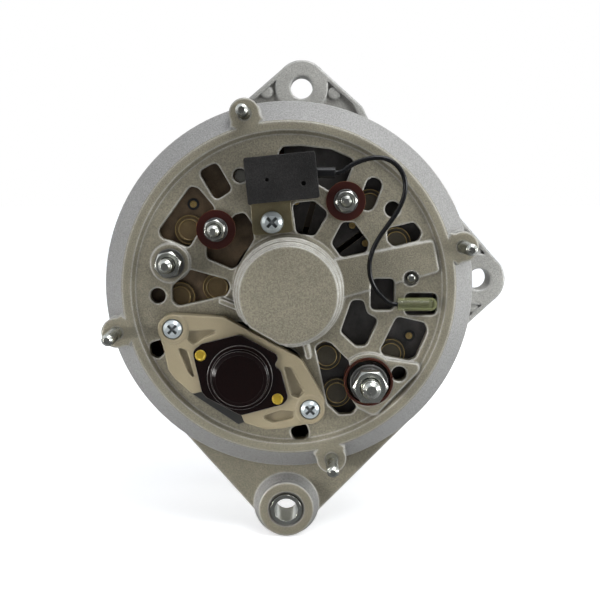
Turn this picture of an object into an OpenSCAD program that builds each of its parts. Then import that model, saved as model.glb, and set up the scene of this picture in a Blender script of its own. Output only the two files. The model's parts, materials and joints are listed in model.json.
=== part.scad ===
// Truck alternator, 28 V class, seen from its slip-ring end.
// A point is [x, z]: x to the right and z up, looking at the rear face. Depth is measured
// forwards from the rim of the rear shield, so the fan and the pulley have the largest depths.
// The origin is on the shaft's axis, midway between the two belt grooves, with +Y forwards.

/* [Shields] */
// Wall of both shields over the core's seat
core_wall = 5; // [4:0.5:8]
// Wall of the shields' skirts
wall = 4; // [3:0.5:5]
// Width of the sloped shoulder between the rim and the skirt
shoulder_w = 9; // [7:0.5:10]
// Width of the rim round the rear face
rim_w = 3.6; // [2.8:0.1:4.4]
// Length of the sloped shoulder between the rim and the skirt
shoulder_len = 10; // [7:0.5:12]
// Depth of the rear face below its rim
face_recess = 2; // [1.5:0.25:3]
// Thickness of the rear face
face_t = 4; // [3:0.5:5]
// Length of the rear shield
rear_len = 36; // [34:1:42]
// Length of the drive shield from its open edge to its front face
drive_len = 50; // [47:1:56]
// Thickness of the drive shield's front face
drive_face_t = 4; // [3:0.5:6]
// Radius of the bolt lugs on both shields
lug_r = 6.4; // [5.8:0.1:7.2]

/* [Bearing boss] */
// Height of the rear bearing boss above the rim
boss_h = 20; // [18.5:0.5:24]
// Radius of the boss at its flat cap
boss_cap_r = 20; // [19.5:0.1:21]
// Radius of the boss at its foot
boss_r = 22.7; // [22:0.1:24]
// Thickness of the cap
boss_cap_t = 3; // [2.5:0.25:5]
// Direction of the brushes and of the regulator, counted from +X
brush_angle = 239.5; // [238:0.5:241]

/* [Mounting ears] */
// Radius of the bores in the ears and in the sliding sleeve, for an M10 bolt
ear_bore_r = 5.1; // [4.6:0.05:5.6]
// Radius of the two adjusting ears
ear_r = 12; // [11:0.25:13.5]
// Thickness of the two adjusting ears
ear_t = 12; // [10:0.5:16]
// How far the adjusting ears' centres stand out from the skirt
ear_out = 9.15; // [8.5:0.05:11]
// Direction of the top ear from the shaft, counted from +X
top_ear_angle = 86.42;
// Direction of the side ear
side_ear_angle = 0.13;
// How far the pivot ears' centre stands out from the skirt
pivot_out = 18.4; // [17.5:0.1:21]
// Direction of the pivot ears
pivot_angle = 269.18;
// Radius of the pivot ears
pivot_r = 12.1; // [11:0.1:13.5]
// Depth of the rear pivot ear's face below the rim
pivot_d = 5; // [3:0.5:7]
// Length of the rear pivot ear
pivot_len = 15; // [13:0.5:20]
// Outer radius of the sliding sleeve
sleeve_r = 6.8; // [6.3:0.05:7.5]
// How far the sleeve stands out at each end of its ear
sleeve_proud = 1; // [0.5:0.25:2]
// Depth of the front pivot ear
front_pivot_d = 62; // [58:1:66]
// Length of the front pivot ear
front_pivot_len = 13; // [10:0.5:16]

/* [Through bolts] */
// How far the through bolts lie inside the skirt's radius
bolt_inset = 3.8; // [3:0.1:4.4]
// Direction of the first through bolt
bolt_angle = 14; // [10:1:18]
// Radius of an M5 through bolt
bolt_r = 2.5; // [2:0.25:3]
// How far the bolt ends stand out of the rear lugs
bolt_proud = 20; // [10:1:30]
// Width across flats of the bolt heads
bolt_af = 8; // [7:0.5:9]

/* [Stator] */
// Outer radius of the laminated core
core_r = 74; // [73:0.25:74.5]
// Depth of the core behind its slots
core_back = 10; // [9:0.5:11]
// Length of the core
core_len = 40; // [36:1:46]
// How deep the core sits in the rear shield
core_seat = 6; // [4:0.5:8]
// Width of the core that shows between the shields
core_band = 6; // [4:0.5:9]
// Number of slots
slot_count = 36; // [24:6:48]
// Width of a slot
slot_w = 4.6; // [3.6:0.2:5.2]
// Depth of a slot
slot_depth = 10; // [8:0.5:12]
// How far the windings stand out at each end of the core
end_turn_len = 12; // [9:0.5:13]

/* [Rotor] */
// Air gap between rotor and stator
air_gap = 0.5; // [0.3:0.05:1]
// Fingers on each of the two poles
finger_count = 6; // [5:1:8]
// Thickness of a pole's disc
pole_t = 13; // [10:0.5:14]
// Width of a finger at its root
finger_root_w = 25; // [18:0.5:27]
// Width of a finger at its tip
finger_tip_w = 11; // [7:0.5:13]
// Outer radius of the field coil
coil_r = 38; // [34:0.5:39]
// Radius of the shaft in the rotor
shaft_r = 10; // [9.5:0.25:12]
// Radius of the slip rings
ring_r = 14; // [13:0.25:15.5]
// Width of a slip ring
ring_w = 7; // [6:0.25:8]
// Gap between the slip rings
ring_gap = 2; // [1.5:0.25:3]

/* [Bearings] */
// Outer radius of the rear bearing
rear_bearing_r = 17.5; // [16.5:0.25:18]
// Bore radius of the rear bearing
rear_bearing_bore = 7.5; // [6:0.25:8]
// Width of the rear bearing
rear_bearing_w = 11; // [9:0.5:12]
// Radius of a ball in the rear bearing
rear_ball_r = 3; // [2.4:0.1:3.4]
// Outer radius of the front bearing
front_bearing_r = 23.5; // [22:0.25:25]
// Bore radius of the front bearing
front_bearing_bore = 8.5; // [8.3:0.1:9.4]
// Width of the front bearing
front_bearing_w = 14; // [12:0.5:17]
// Radius of a ball in the front bearing
front_ball_r = 4.7; // [4:0.1:5]

/* [Fan and pulley] */
// Radius of the fan
fan_r = 70; // [60:0.5:76]
// Number of blades
blade_count = 12; // [8:1:14]
// Width of a blade along the shaft
blade_w = 16; // [10:0.5:22]
// Thickness of the fan's sheet
fan_t = 2; // [1.5:0.25:3]
// Radius of the pulley
pulley_r = 41.5; // [38:0.5:46]
// Width of the pulley
pulley_w = 34; // [32:0.5:38]
// Distance between the two belt grooves
groove_pitch = 16; // [15.5:0.5:17]
// Width of a belt groove at its mouth
groove_w = 13; // [11:0.5:13.5]
// Depth of a belt groove
groove_depth = 12; // [10:0.5:13]
// Angle between a groove's two sides
groove_angle = 38; // [32:1:40]
// Width across flats of the pulley nut
pulley_nut_af = 24; // [22:0.5:26]
// Height of the pulley nut
pulley_nut_h = 13; // [10:0.5:16]

/* [Terminals] */
// Place of the battery terminal
battery_at = [33.8, -39.2];
// Radius of the battery stud, M8
battery_stud_r = 4; // [3:0.25:4.5]
// Outer radius of the battery terminal's insulator
battery_cup_r = 10.4; // [9.8:0.1:11]
// Place of the ground terminal
ground_at = [-49.8, 11.3];
// Radius of the ground stud, M6
ground_stud_r = 3; // [2.5:0.25:3.5]
// Place of the indicator terminal
indicator_at = [-30.4, 25.4];
// Place of the phase terminal
phase_at = [23.7, 37.2];
// Radius of the two small studs, M5
small_stud_r = 2.5; // [2:0.25:3]
// Radius of the fibre washers under the small studs' nuts
fibre_r = 8.2; // [7:0.1:9]

/* [Rectifier] */
// Thickness of the heat sinks
sink_t = 3; // [2:0.25:4]
// Outer radius of the heat sinks
sink_r = 62; // [60:0.5:64]
// Radius of a diode's cup
diode_r = 6.3; // [5.5:0.1:6.6]

/* [Regulator and brushes] */
// Width of a brush round the slip ring
brush_w = 8; // [6:0.25:9]
// Thickness of a brush along the shaft
brush_t = 5; // [4:0.25:6]
// Length of a brush
brush_len = 16; // [12:0.5:18]
// Radius of the regulator's round can
can_r = 13.6; // [11:0.2:14.5]
// Height of the can above its base plate
can_h = 4; // [2.5:0.25:8]

/* [Condenser] */
// Height of the condenser block
condenser_h = 12.5; // [10:0.5:14]
// Diameter of the condenser's lead
lead_dia = 2; // [1.6:0.1:2.4]
// Radius of the insulating sleeve on the lead's end
lead_sleeve_r = 2.7; // [2.5:0.05:3]

/* [Hidden] */
$fn = 96;

// Radii that follow from the core
skirt_r = core_r + core_wall;
rim_r = skirt_r - shoulder_w;
rim_inner_r = rim_r - rim_w;
bolt_pcd_r = skirt_r - bolt_inset;
bolt_flange_r = bolt_af / 2 + 0.9;
bore_r = core_r - core_back - slot_depth;
drive_rim_r = bolt_pcd_r - bolt_flange_r - 0.3;
drive_front_r = drive_rim_r - 8;

// Places of the ears
function dir(a) = [cos(a), sin(a)];
top_ear = (skirt_r + ear_out) * dir(top_ear_angle);
side_ear = (skirt_r + ear_out) * dir(side_ear_angle);
pivot = (skirt_r + pivot_out) * dir(pivot_angle);

// Clearances: a press or screwed joint, and a part that slides or runs
fit = 0.03;
slide = 0.06;
// How much thinner a stud is where it is buried
neck_step = 0.2;

// Depths along the shaft, from the rear to the front
face_d = face_recess;
inner_d = face_d + face_t;
core_d0 = rear_len - core_seat;
core_d1 = core_d0 + core_len;
drive_d0 = rear_len + core_band;
drive_face_d = drive_d0 + drive_len;
nose_h = 8;
nose_lip = 2;
nose_d = drive_face_d + nose_h;
rear_bearing_d = -boss_h + boss_cap_t;
front_bearing_d = nose_d - nose_lip - front_bearing_w;
front_bearing_end = front_bearing_d + front_bearing_w;
fan_gap = 2;
fan_disc_d = nose_d + fan_gap + blade_w;
pulley_d = fan_disc_d + fan_t;
belt_d = pulley_d + pulley_w / 2;
pulley_hub_len = 24;
pulley_hub_end = pulley_d + pulley_hub_len;
spring_washer_t = 3;
nut_d = pulley_hub_end + spring_washer_t;
shaft_end = nut_d + pulley_nut_h + 3;
thread_r = 8;

// Depths and sizes of the rotor
rotor_r = bore_r - air_gap;
pole_overhang = 2;
rear_pole_d = core_d0 - pole_overhang;
front_pole_end = core_d1 + pole_overhang;
rotor_mid = (core_d0 + core_d1) / 2;
half_core_r = 22;
flange_t = 1.3;
ring_d = 1.5;
rings_d = [ring_d, ring_d + ring_w + ring_gap];
hub_r = ring_r - 1.8;
hub_d0 = ring_d - 3;
hub_d1 = rings_d[1] + ring_w + 2;
brush_d = [for (d = rings_d) d + ring_w / 2];

// Through bolts
bolt_at = [for (i = [0:3]) [bolt_pcd_r * cos(bolt_angle + 90 * i), bolt_pcd_r * sin(bolt_angle + 90 * i)]];
lug_end_d = drive_d0 + 38;
bolt_head_h = 3.5;

// Rectifier depths
sink_d = inner_d + 3;
sink_end = sink_d + sink_t;
board_t = 1.5;
board_end = sink_end + board_t;
diode_top_d = inner_d + 0.3;
negative_diode_at = [[-42.2, 25], [-46.5, -3.6], [-30.6, 0.4]];
positive_diode_at = [[45.5, 19.8], [34.2, 35.9], [43.7, -28.2], [20.6, -45.6], [16.1, -29.2]];
sink_inner_r = boss_r + 1.8;
pad_stud_at = [51.5, 4.8];
pad_stud_r = 1.8;
sight_screw_at = [-20.3, 47.7];
sink_screw_at = [[31.5, 50], [15.5, -58]];
ground_screw_at = [-56, -14];
holder_boss_d = inner_d + 2;
screw_r = 2;
sink_boss_r = 4.5;

// Outlines on the rear face. The windows are the cooling openings of the casting
windows = [
    [[-37.7, 49.4], [-30.1, 53.4], [-23.3, 41.8], [-30.7, 37.3]],
    [[-41.2, 43.4], [-54.6, 25.1], [-53.6, 21.6], [-49.5, 20.6], [-42, 17.4], [-39.4, 21.8],
     [-30.6, 34], [-37.7, 42.6]],
    [[-22.6, 31.4], [-18.6, 32.6], [-15.4, 27.8], [-14.6, 21.4], [-21.4, 10.2], [-24, 8.6],
     [-34.6, 13.2], [-34.7, 18]],
    [[-41.7, 8.6], [-26, 4.2], [-24.7, 1], [-26.7, -2.6], [-47, -7.2], [-49.4, -5], [-49.4, 1.4]],
    [[-59.6, -22.8], [-53.2, -21.1], [-51.9, -25.8], [-55.8, -30.2], [-59, -27.9]],
    [[0.2, -60.8], [3.2, -58.4], [7.5, -57.8], [8.8, -63], [7.1, -65], [1.6, -65]],
    [[-5, 56], [-2.6, 59.7], [5, 60], [17.6, 58.6], [27.6, 54.2], [24, 45.2], [17.6, 41], [12.6, 43.9]],
    [[41, 25.8], [52.6, 28.5], [56, 24], [54.4, 20.6], [44, 18], [41.4, 20.6]],
    [[17.8, 19.6], [22.4, 28.4], [27.3, 28.4], [33.6, 20], [32.8, 15.8], [22.1, 13.5]],
    [[1.4, 36.4], [10.6, 37.2], [16.6, 32.3], [10.9, 22.6], [3.1, 23.6]],
    [[34.5, 4.8], [44.6, 4.8], [44.6, -8.9], [34.5, -8.9]],
    [[48.9, -1.5], [62.8, -1.5], [62.8, -11], [48.9, -11]],
    [[26.5, -4.5], [31.6, -4.4], [33.2, -10.2], [38, -12.6], [32.9, -24.2], [28.6, -24.5], [21.8, -18.2]],
    [[45.7, -11.4], [57.7, -14.2], [59, -17.8], [54.1, -29.3], [51.2, -30.6], [40.2, -28.3], [38.8, -25.8]],
    [[11, -24.3], [14.8, -22], [18, -23], [26, -31.2], [24.6, -43.9], [29.4, -50.9], [27.2, -53.8],
     [21.5, -54.2], [16.5, -49.6]]];
window_corner_r = 2.2;
slot_window = [[35.4, 43.5], [32.8, 36.7]];
slot_window_r = 3.4;
round_windows = [[43.4, 33.8], [46.8, -35.9], [-55.4, -2.6]];
round_window_r = 3.3;
regulator_pocket = [
    [-42.5, -14], [-37, -13.2], [-25.6, -13.6], [-16.4, -13.8], [4.4, -27.6], [3.6, -31], [5.2, -42.6],
    [1, -52.5], [-9, -57], [-20, -55.2], [-38.5, -42.6], [-48, -31.5], [-48.2, -24.5]];

right_pad = [[18, 12.6], [60.5, 20.9], [63.3, 7.8], [18, -4.6]];
battery_pad = [[26, -30], [40, -29.4], [55.6, -31.6], [55.2, -34.8], [36.6, -54.4], [28, -50]];
pad_d = 0.7;
terminal_pad_d = 0;

// Small ribs at the foot of the bearing boss
gussets = [[[-28, -4.4], [-20, -7.6]], [[8.2, -27.6], [6.3, -20]]];
gusset_d = -4;

// The pivot ears' and adjusting ears' webs, up to where they meet the skirt
pivot_web = [(skirt_r - 1) * dir(229), pivot + (pivot_r + 1.2) * dir(199), pivot + (pivot_r + 1.2) * dir(-21),
    (skirt_r + 0.5) * dir(311)];
pivot_web_d = pivot_d + 7;
front_pivot_web = [(skirt_r - 2) * dir(243.8), pivot + (pivot_r - 0.2) * dir(201), pivot + (pivot_r - 0.2) * dir(-21),
    (skirt_r - 2) * dir(294.6)];
top_web = [top_ear + (ear_r - 0.1) * dir(126.5), (skirt_r - 1) * dir(115.5), (skirt_r - 1) * dir(59.8), (skirt_r + 7) * dir(67.4),
    top_ear + (ear_r - 0.1) * dir(42)];
side_web = [side_ear + (ear_r - 0.1) * dir(42), (skirt_r + 5) * dir(19.9), (skirt_r - 1) * dir(27.6), (skirt_r - 1) * dir(-25.9),
    (skirt_r + 7) * dir(-13.7), side_ear + (ear_r - 0.1) * dir(-47.4)];
web_recess = 2;
ejector_at = [top_ear + [-15.9, -2.1], top_ear + [14.9, -2.6], side_ear + [-2.9, -12.8], side_ear + [-2.1, 13.2]];

// The brush holder and the regulator, as outlines on the rear face
holder_screw_at = [[-48.6, -15.9], [8.9, -50.3]];
holder_ear_r = 6.2;
holder_outline = [
    [-48.6, -9.7], [-27.3, -11], [-25, -12.2], [3.7, -27.8], [5.4, -29.2], [15.2, -46.2],
    [14.4, -53], [8.7, -56.4], [-3.4, -58.6], [-9.8, -59], [-18.9, -56], [-20.6, -51.4],
    [-35.5, -42.3], [-40.6, -43.6], [-48, -37], [-50.6, -33.4], [-52.2, -25.3], [-54, -18.6]];
holder_pockets = [
    [[-41.6, -16.6], [-27.2, -16.2], [-36, -19.9], [-40.2, -22.8], [-42.6, -20.6]],
    [[-47, -23.2], [-42.6, -25.2], [-39.4, -37.6], [-42.4, -34.4]],
    [[-2.4, -31.4], [0.8, -32.4], [6.6, -42.8], [4, -45.4], [1, -44.4]],
    [[-12.6, -53.6], [-3.4, -50.6], [2.4, -51.2], [1.8, -54.2], [-6.8, -56.2]]];
holder_base_d = -1.6;
holder_seat_d = -3;
holder_head_r = 4.15;
holder_lip_d = -4;
plate_outline = [
    [-40.4, -25], [-36.4, -21.9], [-20.4, -17.9], [-5.2, -26.2], [-4.4, -28.4], [-6.2, -31.1],
    [-3.3, -33.4], [-0.2, -45.2], [-2.5, -47.8], [-20.3, -52.6], [-34.8, -44.8], [-36.7, -42.3]];
plate_d = -5.5;
can_at = [-20.5, -36.2];
rivet_at = [[-36.9, -26.8], [-4.8, -45.4]];
seal_outline = [[-41, -44.2], [-38, -41.9], [-35.4, -42.6], [-20.4, -51.7], [-18.9, -56.4], [-21.6, -57.4]];

// The brush box lies along the brush direction, between these distances from the shaft
box_r0 = ring_r + 1.2;
brush_r0 = ring_r + slide;
brush_r1 = brush_r0 + brush_len;
spring_len = 10;
box_wall = 2;
box_r1 = brush_r1 + spring_len + box_wall;
box_half_w = brush_w / 2 + box_wall;
box_d0 = face_d - 2;
box_d1 = brush_d[1] + brush_t / 2 + box_wall;

// The condenser, on its bracket beside the bearing boss
condenser_outline = [[-18.2, 54.6], [10.6, 57.4], [12.7, 38.8], [-14.2, 36.2], [-16.2, 35.6]];
bracket_outline = [[-15.6, 52], [9, 54], [10, 40], [0.6, 37.4], [2, 24.4], [-15, 22.8], [-16, 37]];
bracket_t = 1.2;
condenser_screw_at = [-7, 28.4];
condenser_d1 = face_d - bracket_t;
condenser_d0 = condenser_d1 - condenser_h;
boot_from = [9, 48.9];
boot_len = 9.9;
boot_d = -7.5;
boot_r = 2.4;

// The lead's route: x, z and depth of each point, from the boot to the sleeve
lead_route = [
    [18.9, 48.9, -7.5], [20.4, 48.9, -7.5], [22.4, 49.6, -7.6], [25, 51.5, -7.8], [29.5, 53.6, -8], [35, 54.8, -8],
    [40, 54.2, -8], [44, 51.6, -8], [46.6, 47.6, -8], [47.4, 43, -7.8], [46.6, 38, -7.4],
    [44, 32.4, -6.8], [40.6, 27.4, -6.2], [37, 22, -5.6], [34.4, 16.4, -5], [33.4, 11, -4.6],
    [34, 5.6, -4], [36.2, 0.8, -3.4], [39.6, -3, -2.8], [42.2, -5.1, -2.2], [44, -5.7, -2], [45.5, -5.7, -2]];
sleeve_x0 = 45.5;
sleeve_x1 = 62;
sleeve_z = -5.7;
sleeve_d = -2;

// The size of a hexagon is given across its flats
function corner_r(flats) = flats / 2 / cos(30);
function unit(v) = v / norm(v);
function arc(centre, r, from, to, steps) =
    [for (i = [0:steps]) let (a = from + (to - from) * i / steps) centre + r * [cos(a), sin(a)]];

// An outline with its corners rounded to radius r, or less where a side is too short for it
function rounded_corner(a, b, c, r) =
    let (u = unit(a - b), v = unit(c - b),
         half = acos(max(-1, min(1, u * v))) / 2,
         cut = min(r / tan(half), 0.45 * norm(a - b), 0.45 * norm(c - b)),
         centre = b + unit(u + v) * cut / cos(half),
         p = b + u * cut - centre, q = b + v * cut - centre,
         from = atan2(p[1], p[0]), turn = (atan2(q[1], q[0]) - from + 540) % 360 - 180)
    arc(centre, cut * tan(half), from, from + turn, 3);
function rounded(points, r) =
    let (n = len(points))
    [for (i = [0:n - 1]) each rounded_corner(points[(i + n - 1) % n], points[i], points[(i + 1) % n], r)];
function shrunk(points, middle, share) = [for (p = points) middle + share * (p - middle)];

// A tube along points, each ring square to the route
function tangent(route, i) =
    unit(route[min(i + 1, len(route) - 1)] - route[max(i - 1, 0)]);
function across(t, ref) = unit(cross(t, ref));
function tube_ring(route, r, sides, i, ref) =
    let (t = tangent(route, i), u = across(t, ref), v = cross(u, t))
    [for (k = [0:sides - 1]) route[i] + r * (cos(360 * k / sides) * u + sin(360 * k / sides) * v)];
module tube(route, r, sides, ref) {
    n = len(route);
    points = [for (i = [0:n - 1]) each tube_ring(route, r, sides, i, ref)];
    sides_faces = [for (i = [0:n - 2], k = [0:sides - 1]) let (k2 = (k + 1) % sides)
        each [[i * sides + k, i * sides + k2, (i + 1) * sides + k2],
              [i * sides + k, (i + 1) * sides + k2, (i + 1) * sides + k]]];
    polyhedron(points, concat(sides_faces,
        [[for (k = [sides - 1:-1:0]) k], [for (k = [0:sides - 1]) (n - 1) * sides + k]]));
}

// Drawing is done looking at the rear face, and this stands it up in the part's frame
module stand() { rotate([90, 0, 0]) children(); }
module at(p) { translate([p[0], p[1], 0]) children(); }
module slab(from, to) { translate([0, 0, belt_d - to]) linear_extrude(to - from) children(); }
module rod(r, from, to) { translate([0, 0, belt_d - to]) cylinder(r = r, h = to - from); }
module taper(r_from, r_to, from, to) {
    translate([0, 0, belt_d - to]) cylinder(r1 = r_to, r2 = r_from, h = to - from);
}
module turned(points) { rotate_extrude() polygon([for (p = points) [p[0], belt_d - p[1]]]); }
module tube_rod(r_out, r_in, from, to) {
    turned([[r_in, from], [r_out, from], [r_out, to], [r_in, to]]);
}
module hexagon(flats) { circle(r = corner_r(flats), $fn = 6); }
module ring_sector(r_in, r_out, from, to) {
    reach = 2 * r_out;
    intersection() {
        difference() { circle(r = r_out); circle(r = r_in); }
        polygon(concat([[0, 0]], arc([0, 0], reach, from, to, 8)));
    }
}
module toward_brushes() { rotate([0, 0, brush_angle]) children(); }

// A bolt lug with the concave fillets that join it to a round wall
module lug_outline(wall_r) {
    fillet_r = 5;
    away = wall_r + fillet_r;
    side = lug_r + fillet_r;
    a = acos((away * away + bolt_pcd_r * bolt_pcd_r - side * side) / (2 * away * bolt_pcd_r));
    for (i = [0:3]) rotate([0, 0, bolt_angle + 90 * i]) {
        translate([bolt_pcd_r, 0]) circle(r = lug_r);
        difference() {
            polygon([[wall_r - 3, 0], away * [cos(a), sin(a)], [bolt_pcd_r, 0], away * [cos(a), -sin(a)]]);
            for (s = [1, -1]) translate(away * [cos(a), s * sin(a)]) circle(r = fillet_r + 0.15);
        }
    }
}

module rear_shield_outside() {
    turned([
        [0, -boss_h], [boss_cap_r, -boss_h], [boss_cap_r, -boss_h + 3.5], [boss_cap_r + 1.3, -boss_h + 3.5],
        [boss_cap_r + 1.3, -boss_h + 10], [boss_r, -boss_h + 10], [boss_r, face_d - 1.2],
        [boss_r + 1.2, face_d], [rim_inner_r - 1.6, face_d], [rim_inner_r, 0], [rim_r, 0],
        [skirt_r, shoulder_len], [skirt_r, rear_len], [0, rear_len]]);
}
module rear_shield_inside() {
    chamber_r = rear_bearing_r + 1;
    chamber_d = rear_bearing_d + rear_bearing_w + 0.5;
    seat_r = rear_bearing_r + fit;
    turned([
        [0, rear_bearing_d - 1], [rear_bearing_r - 4, rear_bearing_d - 1], [rear_bearing_r - 4, rear_bearing_d],
        [seat_r, rear_bearing_d], [seat_r, chamber_d], [chamber_r, chamber_d], [chamber_r, inner_d],
        [rim_r - wall, inner_d], [skirt_r - wall, shoulder_len + 2], [skirt_r - wall, core_d0 - 7],
        [core_r - 3, core_d0 - 3], [core_r - 3, core_d0], [core_r + fit, core_d0],
        [core_r + fit, rear_len + 1], [0, rear_len + 1]]);
}

// Rear shield: the cast end with the windows, the bearing boss and the rear pivot ear
module rear_shield() {
    color("#a9a496") stand() difference() {
        union() {
            difference() {
                union() {
                    rear_shield_outside();
                    slab(0, rear_len) lug_outline(rim_r);
                    pivot_ear_solid();
                }
                rear_shield_inside();
            }
            slab(pad_d, face_d + 1) polygon(rounded(right_pad, 1.5));
            slab(terminal_pad_d, face_d + 1) {
                polygon(rounded(battery_pad, 3));
                translate(battery_at) circle(r = battery_cup_r + 1.8);
            }
            at(ground_at) rod(8.3, terminal_pad_d, sink_d);
            at(sight_screw_at) rod(5, face_d + 1, inner_d);
            for (p = concat(sink_screw_at, [pad_stud_at])) at(p) rod(sink_boss_r, face_d + 1, sink_d - 1.5);
            at(ground_screw_at) rod(sink_boss_r, face_d + 1, sink_d);
            for (p = holder_screw_at) at(p) rod(5.6, face_d + 1, holder_boss_d);
            for (g = gussets) slab(gusset_d, face_d + 1) rounded_bar(g[0], g[1], 1.1, 0.5);
        }
        rear_shield_cuts();
    }
}

module pivot_ear_solid() {
    slab(pivot_web_d, pivot_d + pivot_len) polygon(pivot_web);
    at(pivot) {
        rod(pivot_r, pivot_d, pivot_d + pivot_len);
        taper(pivot_r, pivot_r + 2.4, pivot_web_d - 4, pivot_web_d);
    }
}

module rear_shield_cuts() {
    slab(-boss_h, inner_d + 1) for (w = windows) polygon(rounded(w, window_corner_r));
    slab(-boss_h, inner_d + 1) {
        polygon(rounded(regulator_pocket, 2.5));
        for (p = round_windows) translate(p) circle(r = round_window_r);
        rounded_bar(slot_window[0], slot_window[1], slot_window_r, 3);
    }
    // Flat on the boss, and the slot under it for the brush box
    toward_brushes() {
        slab(-boss_h - 1, -5) translate([boss_cap_r - 1.2, -25]) square([20, 50]);
        slab(box_d0 - 0.4, inner_d + 1) translate([0, -box_half_w - 0.5]) square([40, 2 * box_half_w + 1]);
    }
    for (p = bolt_at) at(p) rod(bolt_r + fit, -1, rear_len + 1);
    at(battery_at) rod(battery_cup_r + fit, -1, inner_d + 1);
    at(ground_at) rod(ground_stud_r + fit, -1, sink_d + 1);
    for (p = [indicator_at, phase_at]) at(p) rod(small_stud_r + 1.2 + fit, -1, inner_d + 1);
    at(sight_screw_at) { rod(3, -1, inner_d + 1); }
    at(pad_stud_at) { rod(3.2, -1, 4); rod(pad_stud_r + fit, 3, sink_d); }
    for (p = concat(sink_screw_at, [ground_screw_at])) at(p) rod(screw_r + fit, face_d + 1.5, sink_d + 1);
    for (p = holder_screw_at) at(p) rod(screw_r + fit, -1, holder_boss_d + 1);
    at(condenser_screw_at) rod(bolt_r + fit, -1, inner_d + 1);
    at(pivot) {
        rod(sleeve_r + slide, pivot_d - 1, pivot_d + pivot_len + 1);
        taper(sleeve_r + 1.2, sleeve_r, pivot_d - 0.01, pivot_d + 1.2);
    }
}

// A bar of half width h from a to b, h longer at each end, with rounded corners
module rounded_bar(a, b, h, r) {
    along = h * unit(b - a);
    side = [along[1], -along[0]];
    polygon(rounded([a - along + side, b + along + side, b + along - side, a - along - side], r));
}

// Drive shield: the cast front end with the vents, the hub and three ears
module drive_shield() {
    hub_r = front_bearing_r + 8;
    nose_r = front_bearing_r + 5.5;
    color("#b3b3b0") stand() difference() {
        union() {
            difference() {
                union() {
                    turned([
                        [0, drive_d0], [skirt_r, drive_d0], [skirt_r, lug_end_d - 12],
                        [drive_rim_r, lug_end_d], [drive_rim_r - 4, lug_end_d + 9], [drive_front_r, drive_face_d],
                        [nose_r + 4, drive_face_d], [nose_r, drive_face_d + 3], [nose_r, nose_d], [0, nose_d]]);
                    slab(drive_d0, lug_end_d) lug_outline(drive_rim_r);
                    ear_solid(top_ear, top_web);
                    ear_solid(side_ear, side_web);
                    at(pivot) rod(pivot_r, front_pivot_d, front_pivot_d + front_pivot_len);
                    slab(front_pivot_d + 2, front_pivot_d + front_pivot_len - 2) polygon(front_pivot_web);
                }
                turned([
                    [0, drive_d0 - 1], [core_r + fit, drive_d0 - 1], [core_r + fit, core_d1], [core_r - 3, core_d1],
                    [core_r - 3, core_d1 + 3], [drive_rim_r - 3.5, lug_end_d],
                    [drive_front_r - wall, drive_face_d - drive_face_t],
                    [hub_r, drive_face_d - drive_face_t], [hub_r, front_bearing_d], [front_bearing_r + fit, front_bearing_d],
                    [front_bearing_r + fit, nose_d - nose_lip], [front_bearing_r - 3, nose_d - nose_lip],
                    [front_bearing_r - 3, nose_d + 1], [0, nose_d + 1]]);
            }
            for (i = [0:vent_count - 1]) rotate([0, 0, vent_turn + (i + 0.5) * 360 / vent_count])
                slab(drive_face_d - 1, drive_face_d + 1.5) translate([nose_r - 1, -1.5])
                    square([drive_front_r - nose_r - 1, 3]);
        }
        for (i = [0:vent_count - 1]) rotate([0, 0, vent_turn + i * 360 / vent_count])
            slab(drive_face_d - 8, drive_face_d + 9) vent_outline(hub_r + 3.5, drive_front_r - 3.5);
        for (p = bolt_at) at(p) rod(bolt_r + fit, drive_d0 - 1, lug_end_d + 1);
        for (p = [top_ear, side_ear]) at(p) rod(ear_bore_r, drive_d0 - 1, drive_d0 + ear_t + 1);
        at(pivot) rod(ear_bore_r, front_pivot_d - 1, front_pivot_d + front_pivot_len + 1);
        for (p = retainer_screw_at) at(p) rod(screw_r + fit, front_bearing_d - 1, front_bearing_d + 8);
    }
}

vent_count = 8;
vent_turn = 9;
module vent_outline(r_in, r_out) {
    half = 360 / vent_count / 2;
    rib = 3.2;
    inner = asin(rib / r_in);
    outer = asin(rib / r_out);
    polygon(rounded(concat(arc([0, 0], r_out, -half + outer, half - outer, 4),
        arc([0, 0], r_in, half - inner, -half + inner, 2)), 2.5));
}

// An adjusting ear: a full boss, a thinner web behind its rim and two ejector marks
module ear_solid(p, web) {
    difference() {
        slab(drive_d0, drive_d0 + ear_t) polygon(web);
        slab(drive_d0 - 1, drive_d0 + web_recess) difference() {
            polygon(shrunk(web, (web[0] + web[len(web) - 1] + 2 * p) / 4 * 0.94, 0.84));
            translate(p) circle(r = ear_r - 0.4);
        }
    }
    at(p) rod(ear_r, drive_d0, drive_d0 + ear_t);
    for (e = ejector_at) if (norm(e - p) < 25) at(e) rod(2.8, drive_d0 + 0.6, drive_d0 + web_recess + 1);
}

module stator_core() {
    color("#6f6a60") stand() slab(core_d0, core_d1) difference() {
        circle(r = core_r);
        circle(r = bore_r);
        for (i = [0:slot_count - 1]) rotate([0, 0, (i + 0.5) * 360 / slot_count]) {
            translate([bore_r + 1, -slot_w / 2]) square([slot_depth, slot_w]);
            translate([bore_r - 1, -1.2]) square([3, 2.4]);
        }
        for (p = bolt_at) translate(p) circle(r = bolt_r + 0.6);
    }
}

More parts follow.
